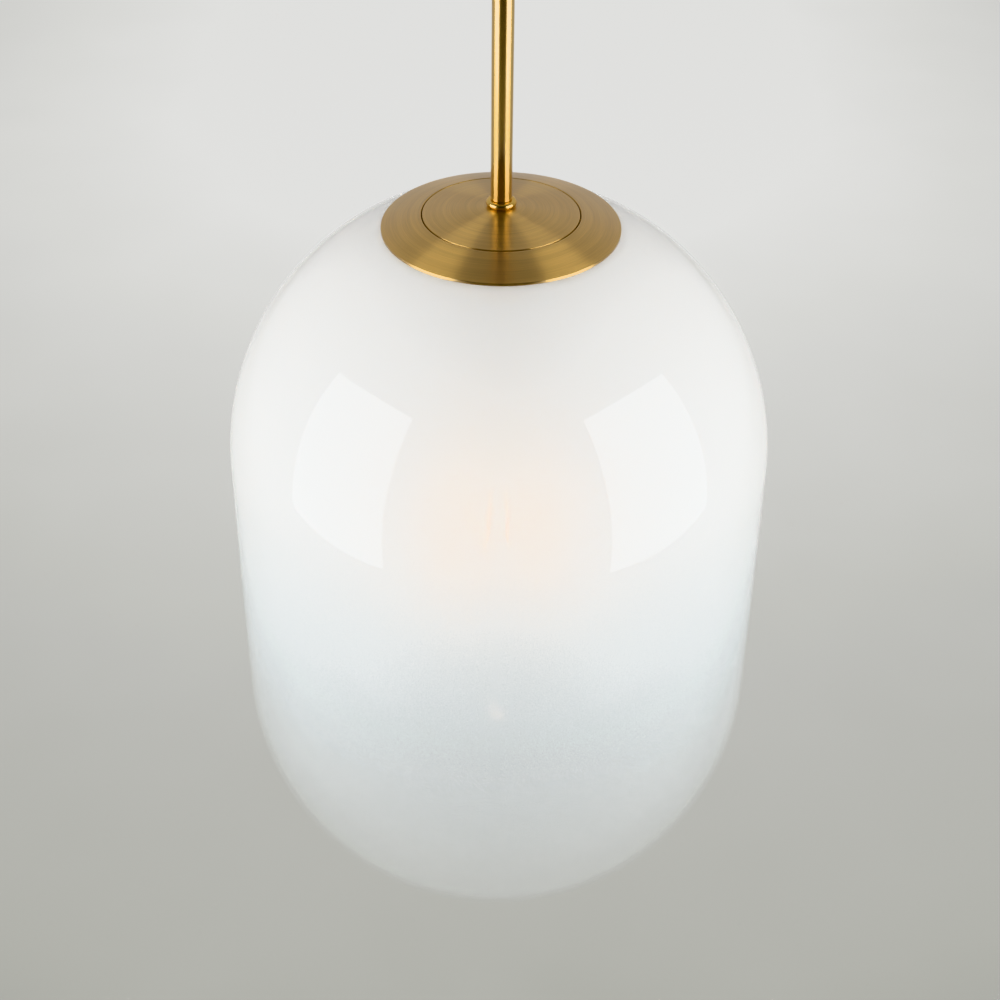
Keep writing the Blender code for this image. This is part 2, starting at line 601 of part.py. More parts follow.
def make_glass():
    """Capsule of one wall thickness. Its dome flattens into the shoulder under the ring."""
    wall, radius, lip = GLOBE_WALL, GLOBE_RADIUS, LIP_THICK / 2
    inside = radius - wall
    start = math.degrees(math.acos(RING_RADIUS / radius))
    under = SHOULDER_Z - LIP_THICK
    outer = arc(0, DOME_Z, radius, start, 0, 7) + arc(0, BOWL_Z, radius, 0, -90, 9)
    inner_start = math.degrees(math.acos((RING_RADIUS + 0.001) / inside))
    inner = arc(0, BOWL_Z, inside, -90, 0, 9) + arc(0, DOME_Z, inside, 0, inner_start, 7)
    neck = arc(NECK_RADIUS + lip, SHOULDER_Z - lip, lip, 270, 90, 4)
    profile = [*neck, (SHOULDER_OUT, SHOULDER_Z), *outer[:-1], (0, BOWL_Z - radius)]
    profile += [(0, BOWL_Z - inside), *inner[1:], (SHOULDER_OUT, under - 0.0006)]
    turned("glass_shade", profile, OPAL_GLASS, FINE)


def ring_underside(radius):
    """The height of the fitter ring's underside at this distance from the axis."""
    inner, outer = RING_BORE + COLLAR_WALL, RING_RADIUS
    low, high = SEAM_Z - RING_DROP - RING_EDGE, SEAM_Z - RING_THICK
    return high + (low - high) * (radius - inner) / (outer - inner)


def make_gasket():
    near, far = NECK_RADIUS + 0.002, 0.067
    profile = [(near, ring_underside(near) - GAP), (far, ring_underside(far) - GAP)]
    turned("neck_gasket", [*profile, (far, SHOULDER_Z + GAP), (near, SHOULDER_Z + GAP)], SILICONE)


def make_clamps():
    """L-shaped steel clips: one leg on the collar, one under the glass."""
    leg_in = RING_BORE + COLLAR_WALL + GAP
    leg_out = leg_in + CLAMP_THICK
    half = CLAMP_WIDTH / 2
    for i in range(CLAMPS):
        place, outward = spoke(i + 0.5, CLAMPS, 0)
        turn = Matrix.Rotation(math.atan2(outward.y, outward.x), 4, "Z")
        clamp = box(f"glass_clamp_{i + 1}", (leg_in, -half, CLAMP_BOTTOM), (leg_out, half, CLAMP_TOP), STEEL)
        low, high = (leg_in, -half, CLAMP_TOP - CLAMP_THICK), (CLAMP_REACH, half, CLAMP_TOP)
        foot = box(f"clamp_foot_{i}", low, high, None, CUTTERS)
        foot.parent = clamp
        boolean(clamp, "UNION", foot)
        hole = rod(f"clamp_hole_{i}", CLAMP_SCREW_RADIUS + GAP, 0.01, -0.01, None, SMALL, CUTTERS)
        laid_along(hole, (leg_in, 0, CLAMP_SCREW_Z), (1, 0, 0))
        hole.parent = clamp
        boolean(clamp, "DIFFERENCE", hole)
        clamp.matrix_world = turn
        screw = slotted_screw(f"clamp_screw_{i + 1}", 0.0027, 0.0016, CLAMP_SCREW_RADIUS, 0.0062, STEEL)
        inside = outward * (RING_BORE - GAP) + Vector((0, 0, CLAMP_SCREW_Z))
        laid_along(screw, inside, -outward)


# ---------------------------------------------------------------- lampholder


def make_socket_cup():
    centre_x, centre_z = CUP_RADIUS - CUP_CORNER, CUP_TOP - CUP_CORNER
    outer = arc(centre_x, centre_z, CUP_CORNER, 90, 0, 4)
    inner = arc(centre_x, centre_z, CUP_CORNER - CUP_WALL, 0, 90, 3)
    profile = [(NIPPLE_HOLE, CUP_TOP), *outer, (CUP_RADIUS, CUP_BOTTOM), (CUP_RADIUS - CUP_WALL, CUP_BOTTOM)]
    turned("socket_cup", [*profile, *inner, (NIPPLE_HOLE, CUP_TOP - CUP_WALL)], BRASS)


def make_holder():
    """Dome on the nipple, porcelain insert with the contacts, and the shell that clamps it."""
    inside = HOLDER_RADIUS - DOME_WALL
    dome = [(NIPPLE_HOLE, DOME_TOP), (DOME_NECK, DOME_TOP), (DOME_NECK, DOME_TOP - 0.002)]
    dome += [(HOLDER_RADIUS - 0.001, DOME_SHOULDER), (HOLDER_RADIUS, DOME_SHOULDER - 0.001)]
    dome += [(HOLDER_RADIUS, DOME_END), (inside, DOME_END), (inside, DOME_NECK_END + DOME_WALL)]
    dome += [(DOME_NECK, DOME_NECK_END), (NIPPLE_HOLE, DOME_NECK_END)]
    turned("holder_dome", dome, PHENOLIC)
    rod("holder_insert", INSERT_RADIUS, INSERT_TOP, INSERT_BOTTOM, PORCELAIN, ROUND)
    step = INSERT_BOTTOM - GAP
    mouth = CUP_BOTTOM + 0.001
    shell = [(inside, DOME_END - GAP), (HOLDER_RADIUS, DOME_END - GAP), (HOLDER_RADIUS, mouth)]
    shell += [(HOLDER_BORE, mouth), (HOLDER_BORE, step), (inside, step)]
    turned("holder_shell", shell, PHENOLIC)
    tube("screw_shell", SCREW_SHELL_OUT, SCREW_SHELL_IN, step - 0.0012, mouth + 0.0015, CONTACT, ROUND)
    half, tip, reach, corner = LEAF_HALF, LEAF_TIP_HALF, LEAF_REACH, LEAF_REACH * 2 / 3
    leaf = [(-half, -reach), (half, -reach), (half, corner), (tip, reach), (-tip, reach), (-half, corner)]
    sheet_metal("centre_contact", [leaf], step, LEAF_THICK, CONTACT)
    for side, hand in ((-1, "left"), (1, "right")):
        screw = slotted_screw("terminal_screw_" + hand, 0.0026, 0.0018, 0.0012, 0.003, CONTACT)
        screw.location = (side * TERMINAL_X, 0, INSERT_TOP + GAP)
        insert = bpy.data.objects["holder_insert"]
        drill(insert, (side * TERMINAL_X, 0, INSERT_TOP), (0, 0, 1), TERMINAL_HOLE, 0.008)


# ---------------------------------------------------------------- bulb


def make_bulb_cap():
    ridges = []
    for i in range(THREADS):
        crest = CAP_TOP - 0.0016 - THREAD_PITCH * (i + 0.5)
        ridges += [(CAP_RADIUS - THREAD_DEPTH, crest + THREAD_PITCH / 2), (CAP_RADIUS, crest)]
    inside = CAP_RADIUS - THREAD_DEPTH - CAP_WALL - 0.0002
    flare = BULB_NECK_RADIUS + GAP
    profile = [(CAP_RIM_BORE, CAP_TOP), (CAP_RIM, CAP_TOP), *ridges, (CAP_RADIUS, CAP_END), (flare, CAP_END)]
    profile += [(flare, BULB_NECK_TOP + 0.0004), (inside, BULB_NECK_TOP + 0.0008), (inside, CAP_TOP - 0.002)]
    turned("bulb_screw_cap", [*profile, (CAP_RIM_BORE, CAP_TOP - 0.0008)], ALUMINIUM, ROUND)
    under, face = CAP_TOP + GAP, LAMP_CONTACT - 0.0012 - GAP
    cone = [(0, face), (0.0048, face), (0.0100, under + 0.0006), (0.0100, under), (0, under)]
    turned("bulb_insulator", cone, PHENOLIC, SMALL)
    face += GAP
    button = [(0, LAMP_CONTACT), (0.003, LAMP_CONTACT - 0.0002), (0.0045, LAMP_CONTACT - 0.0007)]
    turned("bulb_contact", [*button, (0.0045, face), (0, face)], CONTACT, SMALL)


def make_bulb_glass():
    """Pear-shaped envelope, open at its neck, where the cap closes it."""
    neck = BULB_NECK_RADIUS
    flare = [(neck, BULB_NECK_TOP), (neck, CAP_END - 0.001), (neck + 0.0008, CAP_END - 0.006)]
    flare += [(neck + 0.0036, CAP_END - 0.014), (neck + 0.0088, CAP_END - 0.0250)]
    flare += [(neck + 0.0140, CAP_END - 0.0365)]
    pear = arc(0, BULB_CENTRE, BULB_RADIUS, 18, -90, 8)
    profile = flare + pear[:-1] + [(0, BULB_CENTRE - BULB_RADIUS)]
    scale = (BULB_RADIUS - BULB_WALL) / BULB_RADIUS
    inner = [(x * scale, BULB_CENTRE + (z - BULB_CENTRE) * scale) for x, z in reversed(pear)]
    profile += [(0, BULB_CENTRE - BULB_RADIUS + BULB_WALL), *inner[1:]]
    turned("bulb_envelope", profile + [(x - BULB_WALL, z) for x, z in reversed(flare)], CLEAR_GLASS)


def make_filaments():
    """Four filaments leaning in towards the cap, between two wire spiders on a glass mount."""
    near_z = FILAMENT_MIDDLE + FILAMENT_HALF_LENGTH
    far_z = FILAMENT_MIDDLE - FILAMENT_HALF_LENGTH
    for i in range(FILAMENTS):
        turn = 2 * math.pi * (i + 0.5) / FILAMENTS
        outward = Vector((math.cos(turn), math.sin(turn), 0))
        near = outward * FILAMENT_NEAR + Vector((0, 0, near_z))
        far = outward * FILAMENT_FAR + Vector((0, 0, far_z))
        length = (near - far).length
        filament = rod(f"led_filament_{i + 1}", FILAMENT_RADIUS, length / 2, -length / 2, PHOSPHOR, 8)
        laid_along(filament, (near + far) / 2, near - far)
    pillar_end = far_z - SPIDER_THICK - 0.0012
    skirt = BULB_NECK_RADIUS - BULB_WALL - 2 * GAP
    pillar = [(0, BULB_NECK_TOP), (skirt, BULB_NECK_TOP), (skirt, BULB_NECK_TOP - 0.001)]
    pillar += [(0.004, CAP_END - 0.004), (0.0022, CAP_END - 0.012)]
    pillar += [(PILLAR_RADIUS, near_z), (PILLAR_RADIUS, pillar_end), (0, pillar_end)]
    mount = turned("bulb_mount", pillar, CLEAR_GLASS, SMALL)
    tops = {"near": near_z + 0.0006 + SPIDER_THICK, "far": far_z - 0.0006}
    for name, reach in (("near", FILAMENT_NEAR + 0.001), ("far", FILAMENT_FAR + 0.001)):
        spider = []
        for i in range(FILAMENTS):
            turn = 2 * math.pi * (i + 0.5) / FILAMENTS
            along = Vector((math.cos(turn), math.sin(turn)))
            across = Vector((-math.sin(turn), math.cos(turn))) * SPIDER_HALF
            spider += [along * reach - across, along * reach + across]
            inward = turn + math.pi / FILAMENTS
            spider.append(Vector((math.cos(inward), math.sin(inward))) * SPIDER_HUB)
        outline = [tuple(p) for p in spider]
        arms = sheet_metal(f"bulb_spider_{name}", [outline], tops[name], SPIDER_THICK, None, CUTTERS)
        boolean(mount, "UNION", arms)


# ---------------------------------------------------------------- wiring


def make_wiring():
    wire("cable_upper", [(0, 0, CABLE_TOP), (0, 0, PIVOT_Z + PIVOT_CLEAR)], CABLE_RADIUS, SHEATH)
    wire("cable_lower", [(0, 0, PIVOT_Z - PIVOT_CLEAR), (0, 0, DOME_NECK_END + GAP)], CABLE_RADIUS, SHEATH)
    grip_end = SPIGOT_TOP + GAP
    tube("cord_grip", GRIP_RADIUS, CABLE_RADIUS + GAP, grip_end + GRIP_HEIGHT, grip_end, NYLON)
    make_terminal_block()
    make_canopy_cores()
    make_holder_tails()


def make_canopy_cores():
    """Cores fan out from the sheath: two into the block, the earth to its screw on the bracket."""
    lift = CABLE_TOP + GAP
    entry = BLOCK_Y - BLOCK_SIZE[1] / 2 - GAP
    for name, side, finish in (("core_live", 1, LIVE), ("core_neutral", -1, NEUTRAL)):
        x, far_x = side * CORE_NEAR_X, side * CORE_FAR_X
        route = [(x, 0.0006, lift), (x, 0.0010, lift + 0.0025), (x * 2, 0.004, lift + 0.0042)]
        route += [(far_x * 0.8, 0.009, lift + 0.0030), (far_x, entry - 0.002, lift + 0.0018)]
        wire(name, [*route, (far_x, entry, lift + 0.0016)], CORE_RADIUS, finish, 2)
    screw_x, ground_z = GROUND_SCREW_X, -BRACKET_THICK - 0.0034
    route = [(0, -0.0014, lift), (-0.0004, -0.0024, lift + 0.0024), (-0.0045, -0.0042, lift + 0.0040)]
    route += [(-0.011, -0.0038, ground_z - 0.0006), (screw_x + 0.0048, -0.0012, ground_z)]
    wire("core_earth", [*route, (screw_x + 0.0036, -0.0006, ground_z)], CORE_RADIUS, EARTH, 2)
    ground = slotted_screw("ground_screw", 0.0032, 0.0020, GROUND_SCREW_RADIUS, 0.0020, GREEN_STEEL)
    laid_along(ground, (screw_x, 0, -BRACKET_THICK - GAP), (0, 0, -1))


def make_holder_tails():
    """Inside the holder's dome the two cores part to their terminal screws."""
    start, end_z = DOME_NECK_END, INSERT_TOP + 0.0011
    for name, side, finish in (("tail_live", 1, LIVE), ("tail_neutral", -1, NEUTRAL)):
        along = [(CORE_NEAR_X, start), (0.0014, start - 0.0015), (0.0035, end_z + 0.0010)]
        along += [(TERMINAL_X - 0.0046, end_z), (TERMINAL_X - 0.0030, end_z)]
        wire(name, [(side * x, 0, z) for x, z in along], CORE_RADIUS, finish, 2)


def make_terminal_block():
    x, y, z = (side / 2 for side in BLOCK_SIZE)
    top = -BRACKET_THICK - GAP
    block = box("terminal_block", (-x, BLOCK_Y - y, top - 2 * z), (x, BLOCK_Y + y, top), NYLON)
    bevel = block.modifiers.new("edges", "BEVEL")
    bevel.width = BLOCK_BEVEL
    bevel.segments = 1
    for wire_x in (-CORE_FAR_X, CORE_FAR_X):
        drill(block, (wire_x, BLOCK_Y, top - 2 * z + BLOCK_MOUTH_Z), (0, 1, 0), BLOCK_MOUTH, 0.04, 10)
        drill(block, (wire_x, BLOCK_Y, top - 2 * z), (0, 0, 1), BLOCK_WELL, 0.005, 10)


make_bracket()
make_canopy()
make_canopy_fixings()
make_swivel()
make_stem()
make_socket_plate()
make_fitter_ring()
make_cap_fixings()
make_glass()
make_gasket()
make_clamps()
make_socket_cup()
make_holder()
make_bulb_cap()
make_bulb_glass()
make_filaments()
make_wiring()
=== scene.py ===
"""Looks of the pendant light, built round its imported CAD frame.

Fine pieces are made here in place of the faceted CAD nodes that show. The other CAD nodes keep their shape
and get a material. Metres, +Z up, the ceiling at z = 0.
"""

import json
import math

import bmesh
import bpy
from mathutils import Matrix, Vector


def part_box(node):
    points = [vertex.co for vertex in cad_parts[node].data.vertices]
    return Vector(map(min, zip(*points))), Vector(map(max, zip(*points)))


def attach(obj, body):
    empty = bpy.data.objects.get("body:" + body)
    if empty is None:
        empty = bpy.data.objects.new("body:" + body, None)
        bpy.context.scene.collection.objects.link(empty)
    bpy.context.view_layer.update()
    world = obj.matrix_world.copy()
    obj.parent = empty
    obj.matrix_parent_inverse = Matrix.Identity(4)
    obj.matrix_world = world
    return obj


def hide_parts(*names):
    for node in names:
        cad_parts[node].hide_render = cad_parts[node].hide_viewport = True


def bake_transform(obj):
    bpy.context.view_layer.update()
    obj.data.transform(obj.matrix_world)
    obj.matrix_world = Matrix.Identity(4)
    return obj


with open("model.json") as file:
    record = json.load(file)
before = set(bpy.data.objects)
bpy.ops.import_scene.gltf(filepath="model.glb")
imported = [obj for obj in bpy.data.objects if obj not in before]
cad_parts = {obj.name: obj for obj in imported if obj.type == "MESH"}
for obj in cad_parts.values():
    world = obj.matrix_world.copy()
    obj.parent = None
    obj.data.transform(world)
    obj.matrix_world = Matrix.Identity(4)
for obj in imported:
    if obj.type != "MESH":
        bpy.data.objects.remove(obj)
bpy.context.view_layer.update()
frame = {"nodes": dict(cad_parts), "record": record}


def low(node):
    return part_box(node)[0]


def high(node):
    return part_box(node)[1]


def extent(node):
    """The node's top, its bottom and its reach along +X, which is its radius if it is round."""
    return high(node)[2], low(node)[2], high(node)[0]


# Sizes the boxes don't give, as in the CAD source
GAP = 0.0003
SEAM_RISE, CENTRE_DROP = 0.0094, 0.2535
GLOBE_WALL, NECK_RADIUS, SHOULDER_OUT, LIP_THICK = 0.003, 0.054, 0.0695, 0.0036
RING_BORE, COLLAR_WALL, RING_EDGE = 0.0472, 0.0024, 0.0015
SKIRT_RADIUS, SKIRT_WALL, PLATE_LAND, PLATE_THICK = 0.0466, 0.002, 0.0095, 0.002
TUBE_BORE = 0.00535
NIPPLE_RADIUS, NIPPLE_BORE = 0.005, 0.0035
NIPPLE_HOLE = NIPPLE_RADIUS + GAP

# Sizes read from the frame
SHOULDER_Z, GLOBE_END, GLOBE_RADIUS = extent("glass_shade")
SEAM_Z = SHOULDER_Z + SEAM_RISE
GLOBE_CENTRE = SEAM_Z - CENTRE_DROP
PLATE_RADIUS, PLATE_TOP = high("socket_plate")[0], high("socket_plate")[2]
RING_RADIUS = high("fitter_ring")[0]
TUBE_RADIUS = high("lower_stem")[0]
PIVOT_Z = (low("pivot_screw_left")[2] + high("pivot_screw_left")[2]) / 2
CUP_TOP, CUP_END, CUP_RADIUS = extent("socket_cup")
CAP_TOP, CAP_END, CAP_RADIUS = extent("bulb_screw_cap")
STUD_X = (low("canopy_stud_right")[0] + high("canopy_stud_right")[0]) / 2
GROUND_X = (low("ground_screw")[0] + high("ground_screw")[0]) / 2
CLIP_SCREW_Z = (low("clamp_screw_1")[2] + high("clamp_screw_1")[2]) / 2

AXIS_X, AXIS_Y, AXIS_Z, DOWN = (1, 0, 0), (0, 1, 0), (0, 0, 1), (0, 0, -1)
CLIPS = 3
LUGS = 3


# ---- mesh tools


def new_object(name, data):
    obj = bpy.data.objects.new(name, data)
    bpy.context.scene.collection.objects.link(obj)
    return obj


def shade(mesh, angle=35):
    mesh.shade_smooth()
    mesh.set_sharp_from_angle(angle=math.radians(angle))


def object_from(name, mesh_maker):
    mesh = bpy.data.meshes.new(name)
    mesh_maker.to_mesh(mesh)
    mesh_maker.free()
    return new_object(name, mesh)


def evaluated_mesh(obj):
    """obj's shape as a new mesh, with its modifiers or its curve's thickness made part of it."""
    bpy.context.view_layer.update()
    graph = bpy.context.evaluated_depsgraph_get()
    return bpy.data.meshes.new_from_object(obj.evaluated_get(graph))


def turned(name, profile, steps=128):
    """A profile of (radius, z) turned about Z and closed, with single points where it meets the axis."""
    mesh_maker = bmesh.new()
    turns = [2 * math.pi * i / steps for i in range(steps)]
    rings = []
    for x, z in profile:
        if x == 0:
            rings.append([mesh_maker.verts.new((0, 0, z))] * steps)
        else:
            rings.append([mesh_maker.verts.new((x * math.cos(t), x * math.sin(t), z)) for t in turns])
    for a, b in zip(rings, rings[1:] + rings[:1]):
        if a[0] is a[1] and b[0] is b[1]:
            continue
        for i in range(steps):
            j = (i + 1) % steps
            corners = [a[i], a[j], b[j], b[i]]
            mesh_maker.faces.new(list(dict.fromkeys(corners)))
    bmesh.ops.recalc_face_normals(mesh_maker, faces=mesh_maker.faces)
    obj = object_from(name, mesh_maker)
    shade(obj.data)
    return obj


def arc(x, z, radius, start, end, points):
    """Points on an arc about (x, z), from one angle to another in degrees, 0 being +X and 90 being +Z."""
    turns = [math.radians(start + (end - start) * i / (points - 1)) for i in range(points)]
    return [(x + radius * math.cos(t), z + radius * math.sin(t)) for t in turns]


def circle(x, y, radius, points=32):
    turns = [2 * math.pi * i / points for i in range(points)]
    return [(x + radius * math.cos(t), y + radius * math.sin(t)) for t in turns]


def bulged(start, end, bulge, points=24):
    """Points from start to end on a shallow curve that stands this far above the straight line."""
    made = []
    for i in range(points):
        share = i / (points - 1)
        lift = 4 * bulge * share * (1 - share)
        x = start[0] + (end[0] - start[0]) * share
        made.append((x, start[1] + (end[1] - start[1]) * share + lift))
    return made


SAME_POINT, NEARLY_STRAIGHT, LEAST_ROUND = 1e-9, math.radians(150), 0.00003


def softened(profile, radius, points=4):
    """The profile with its corners rounded off, but for those on the axis or between short stretches."""
    made = []
    count = len(profile)
    for i, corner in enumerate(profile):
        before, after = profile[i - 1], profile[(i + 1) % count]
        corner, before, after = Vector(corner), Vector(before), Vector(after)
        into, out = before - corner, after - corner
        reach = min(radius, into.length * 0.45, out.length * 0.45)
        straight = min(into.length, out.length) < SAME_POINT or into.angle(out, math.pi) > NEARLY_STRAIGHT
        if corner.x == 0 or straight or reach < LEAST_ROUND:
            made.append(tuple(corner))
            continue
        first, last = corner + into.normalized() * reach, corner + out.normalized() * reach
        for k in range(points):
            t = k / (points - 1)
            made.append(tuple(first * (1 - t) ** 2 + corner * 2 * t * (1 - t) + last * t**2))
    return made


def smooth(route, between=10):
    """Points on a Catmull-Rom curve through the route."""
    route = [Vector(p) for p in route]
    ends = [2 * route[0] - route[1], *route, 2 * route[-1] - route[-2]]
    made = []
    for a, b, c, d in zip(ends, ends[1:], ends[2:], ends[3:]):
        for i in range(between):
            t = i / between
            bend = (2 * a - 5 * b + 4 * c - d) * t**2 + (3 * b - a - 3 * c + d) * t**3
            made.append(0.5 * (2 * b + (c - a) * t + bend))
    return [*made, route[-1]]


def box(name, lowest, highest):
    mesh_maker = bmesh.new()
    bmesh.ops.create_cube(mesh_maker, size=1)
    lowest, highest = Vector(lowest), Vector(highest)
    place = Matrix.LocRotScale((lowest + highest) / 2, None, highest - lowest)
    bmesh.ops.transform(mesh_maker, matrix=place, verts=mesh_maker.verts)
    return object_from(name, mesh_maker)


def slab(name, outline, bottom, top, across=None):
    """A flat outline of (x, y) made into a slab between two heights. across is a matrix that turns it."""
    mesh_maker = bmesh.new()
    face = mesh_maker.faces.new([mesh_maker.verts.new((x, y, bottom)) for x, y in outline])
    extruded = bmesh.ops.extrude_face_region(mesh_maker, geom=[face])
    raised = [v for v in extruded["geom"] if isinstance(v, bmesh.types.BMVert)]
    bmesh.ops.translate(mesh_maker, vec=(0, 0, top - bottom), verts=raised)
    if across is not None:
        bmesh.ops.transform(mesh_maker, matrix=across, verts=mesh_maker.verts)
    bmesh.ops.recalc_face_normals(mesh_maker, faces=mesh_maker.faces)
    return object_from(name, mesh_maker)


def settle(obj):
    """Makes obj's modifiers part of its mesh."""
    mesh = evaluated_mesh(obj)
    obj.modifiers.clear()
    obj.data = mesh
    shade(mesh)
    return obj


def combined(obj, operation, *others):
    """Cuts, joins or trims obj with the others, which are then removed."""
    for other in others:
        modifier = obj.modifiers.new(operation, "BOOLEAN")
        modifier.operation = operation
        modifier.object = other
        modifier.solver = "EXACT"
    settle(obj)
    for other in others:
        bpy.data.objects.remove(other)
    return obj


def bevelled(obj, width, segments=3, angle=40):
    bevel = obj.modifiers.new("edges", "BEVEL")
    bevel.width = width
    bevel.segments = segments
    bevel.limit_method = "ANGLE"
    bevel.angle_limit = math.radians(angle)
    return settle(obj)


def pointing(centre, axis):
    """The matrix that takes a piece made about the origin, along Z, to centre, with its Z along axis."""
    return Matrix.Translation(centre) @ Vector(axis).to_track_quat("Z", "Y").to_matrix().to_4x4()


def placed(obj, matrix):
    obj.data.transform(matrix)
    return obj


def moved(obj, x):
    return placed(obj, Matrix.Translation((x, 0, 0)))


def drilled(obj, holes):
    """Round holes through obj: (centre, axis, radius, length) each."""
    cutters = []
    for centre, axis, radius, length in holes:
        profile = [(0, length / 2), (radius, length / 2), (radius, -length / 2), (0, -length / 2)]
        cutters.append(placed(turned("hole", profile, 32), pointing(centre, axis)))
    return combined(obj, "DIFFERENCE", *cutters)


def spoke(number, count, z, radius):
    """The place and the outward direction of one of several pieces spaced evenly round the axis."""
    turn = 2 * math.pi * number / count
    outward = Vector((math.cos(turn), math.sin(turn), 0))
    return outward * radius + Vector((0, 0, z)), outward


def wire(name, route, radius, sides=16):
    """A tube along a smooth curve through the route's points, as a mesh."""
    curve = bpy.data.curves.new(name, "CURVE")
    curve.dimensions = "3D"
    curve.bevel_depth = radius
    curve.bevel_resolution = sides // 4
    curve.use_fill_caps = True
    points = smooth(route)
    spline = curve.splines.new("POLY")
    spline.points.add(len(points) - 1)
    for point, place in zip(spline.points, points):
        point.co = (*place, 1)
    obj = new_object(name, curve)
    mesh = evaluated_mesh(obj)
    bpy.data.objects.remove(obj)
    shade(mesh, 60)
    return new_object(name, mesh)


# ---- materials


class Nodes:
    """The node tree of a material or world, with short calls for the nodes it uses."""

    def __init__(self, owner, shader):
        owner.use_nodes = True
        self.owner, self.tree = owner, owner.node_tree
        self.shader = self.tree.nodes[shader]

    def add(self, kind, **settings):
        node = self.tree.nodes.new(kind)
        for key, value in settings.items():
            setattr(node, key, value)
        return node

    def give(self, socket, value):
        """Links another node's output to a socket, or sets the socket to a value."""
        if isinstance(value, bpy.types.NodeSocket):
            self.tree.links.new(value, socket)
        else:
            socket.default_value = value

    def set(self, **values):
        """Values and outputs for the shader's own sockets; underscores stand for spaces."""
        for key, value in values.items():
            self.give(self.shader.inputs[key.replace("_", " ")], value)

    def place(self):
        return self.add("ShaderNodeTexCoord").outputs["Object"]

    def height(self):
        split = self.add("ShaderNodeSeparateXYZ")
        self.give(split.inputs[0], self.place())
        return split.outputs["Z"]

    def math(self, operation, *values):
        node = self.add("ShaderNodeMath", operation=operation)
        for socket, value in zip(node.inputs, values):
            self.give(socket, value)
        return node.outputs[0]

    def vector(self, operation, *values):
        node = self.add("ShaderNodeVectorMath", operation=operation)
        for socket, value in zip(node.inputs, values):
            self.give(socket, value)
        return node.outputs["Value" if operation == "LENGTH" else "Vector"]

    def scaled(self, vector, scale):
        return self.vector("MULTIPLY", vector, (scale, scale, scale))

    def noise(self, vector, scale, detail=3.0, roughness=0.5):
        node = self.add("ShaderNodeTexNoise")
        node.inputs["Scale"].default_value = scale
        node.inputs["Detail"].default_value = detail
        node.inputs["Roughness"].default_value = roughness
        self.give(node.inputs["Vector"], vector)
        return node.outputs["Fac"]

    def span(self, value, from_low, from_high, to_low=0.0, to_high=1.0, curve="LINEAR"):
        node = self.add("ShaderNodeMapRange", interpolation_type=curve)
        self.give(node.inputs["Value"], value)
        limits = {"From Min": from_low, "From Max": from_high, "To Min": to_low, "To Max": to_high}
        for key, limit in limits.items():
            node.inputs[key].default_value = limit
        return node.outputs["Result"]

    def blend(self, share, first, second):
        node = self.add("ShaderNodeMix", data_type="RGBA")
        self.give(node.inputs["Factor"], share)
        node.inputs["A"].default_value = (*first, 1)
        node.inputs["B"].default_value = (*second, 1)
        return node.outputs["Result"]

    def mixed(self, first, second, second_share):
        """Two patterns added up, with this share of the second."""
        return self.math(
            "ADD", self.math("MULTIPLY", first, 1 - second_share), self.math("MULTIPLY", second, second_share)
        )

    def ramp(self, share, stops):
        """A colour that follows share through (position, colour) stops."""
        node = self.add("ShaderNodeValToRGB")
        self.give(node.inputs["Fac"], share)
        elements = node.color_ramp.elements
        while len(elements) < len(stops):
            elements.new(0.5)
        for element, (position, colour) in zip(elements, stops):
            element.position = position
            element.color = (*colour, 1)
        return node.outputs["Color"]

    def bump(self, height, distance, strength):
        node = self.add("ShaderNodeBump")
        node.inputs["Distance"].default_value = distance
        node.inputs["Strength"].default_value = strength
        self.give(node.inputs["Height"], height)
        self.give(self.shader.inputs["Normal"], node.outputs["Normal"])


ALONG_BRUSHING, BROAD_LINES = 45.0, 0.12


def new_material(name):
    return Nodes(bpy.data.materials.new(name), "Principled BSDF")


def brushed_metal(name, colour, deep, roughness, line, anisotropy=0.9, contrast=1.0, depth=0.00001, coat=0.3):
    """Metal brushed round and round the Z axis: fine lines that follow each circle."""
    nodes = new_material(name)
    place = nodes.place()
    radius = nodes.vector("LENGTH", nodes.vector("MULTIPLY", place, (1, 1, 0)))
    section = nodes.add("ShaderNodeCombineXYZ")
    nodes.give(section.inputs["X"], radius)
    nodes.give(section.inputs["Y"], nodes.height())
    across = section.outputs[0]
    # Lines change fast across the brushing and slowly along it.
    lines = nodes.vector("ADD", nodes.scaled(across, 1 / line), nodes.scaled(place, ALONG_BRUSHING))
    fine = nodes.noise(lines, 1.0, 4.0, 0.6)
    broad = nodes.noise(nodes.scaled(across, BROAD_LINES / line), 1.0, 2.0)
    tone = nodes.span(nodes.mixed(fine, broad, 0.4), 0.25, 0.75)
    cloudy = nodes.noise(place, 38.0, 3.0)
    swing = 0.05 * contrast
    rough = nodes.span(nodes.mixed(fine, cloudy, 0.4), 0.3, 0.7, roughness - swing, roughness + swing)
    nodes.set(Base_Color=nodes.blend(tone, deep, colour), Roughness=rough)
    nodes.set(Metallic=1.0, Anisotropic=anisotropy, Anisotropic_Rotation=0.25)
    nodes.set(Coat_Weight=1.0, Coat_Roughness=coat, Coat_IOR=1.7)
    nodes.set(Tangent=nodes.add("ShaderNodeTangent", direction_type="RADIAL", axis="Z").outputs[0])
    nodes.bump(fine, depth, 0.5)
    return nodes.owner


def plain_metal(name, colour, deep, roughness):
    """Plated or cast metal: a cloudy tone and a fine irregular roughness."""
    nodes = new_material(name)
    cloudy = nodes.noise(nodes.place(), 60.0, 4.0)
    fine = nodes.noise(nodes.place(), 400.0, 3.0)
    nodes.set(Base_Color=nodes.blend(nodes.span(cloudy, 0.3, 0.7), deep, colour), Metallic=1.0)
    nodes.set(Roughness=nodes.span(fine, 0.3, 0.7, roughness - 0.06, roughness + 0.08))
    nodes.bump(fine, 0.00002, 0.4)
    return nodes.owner


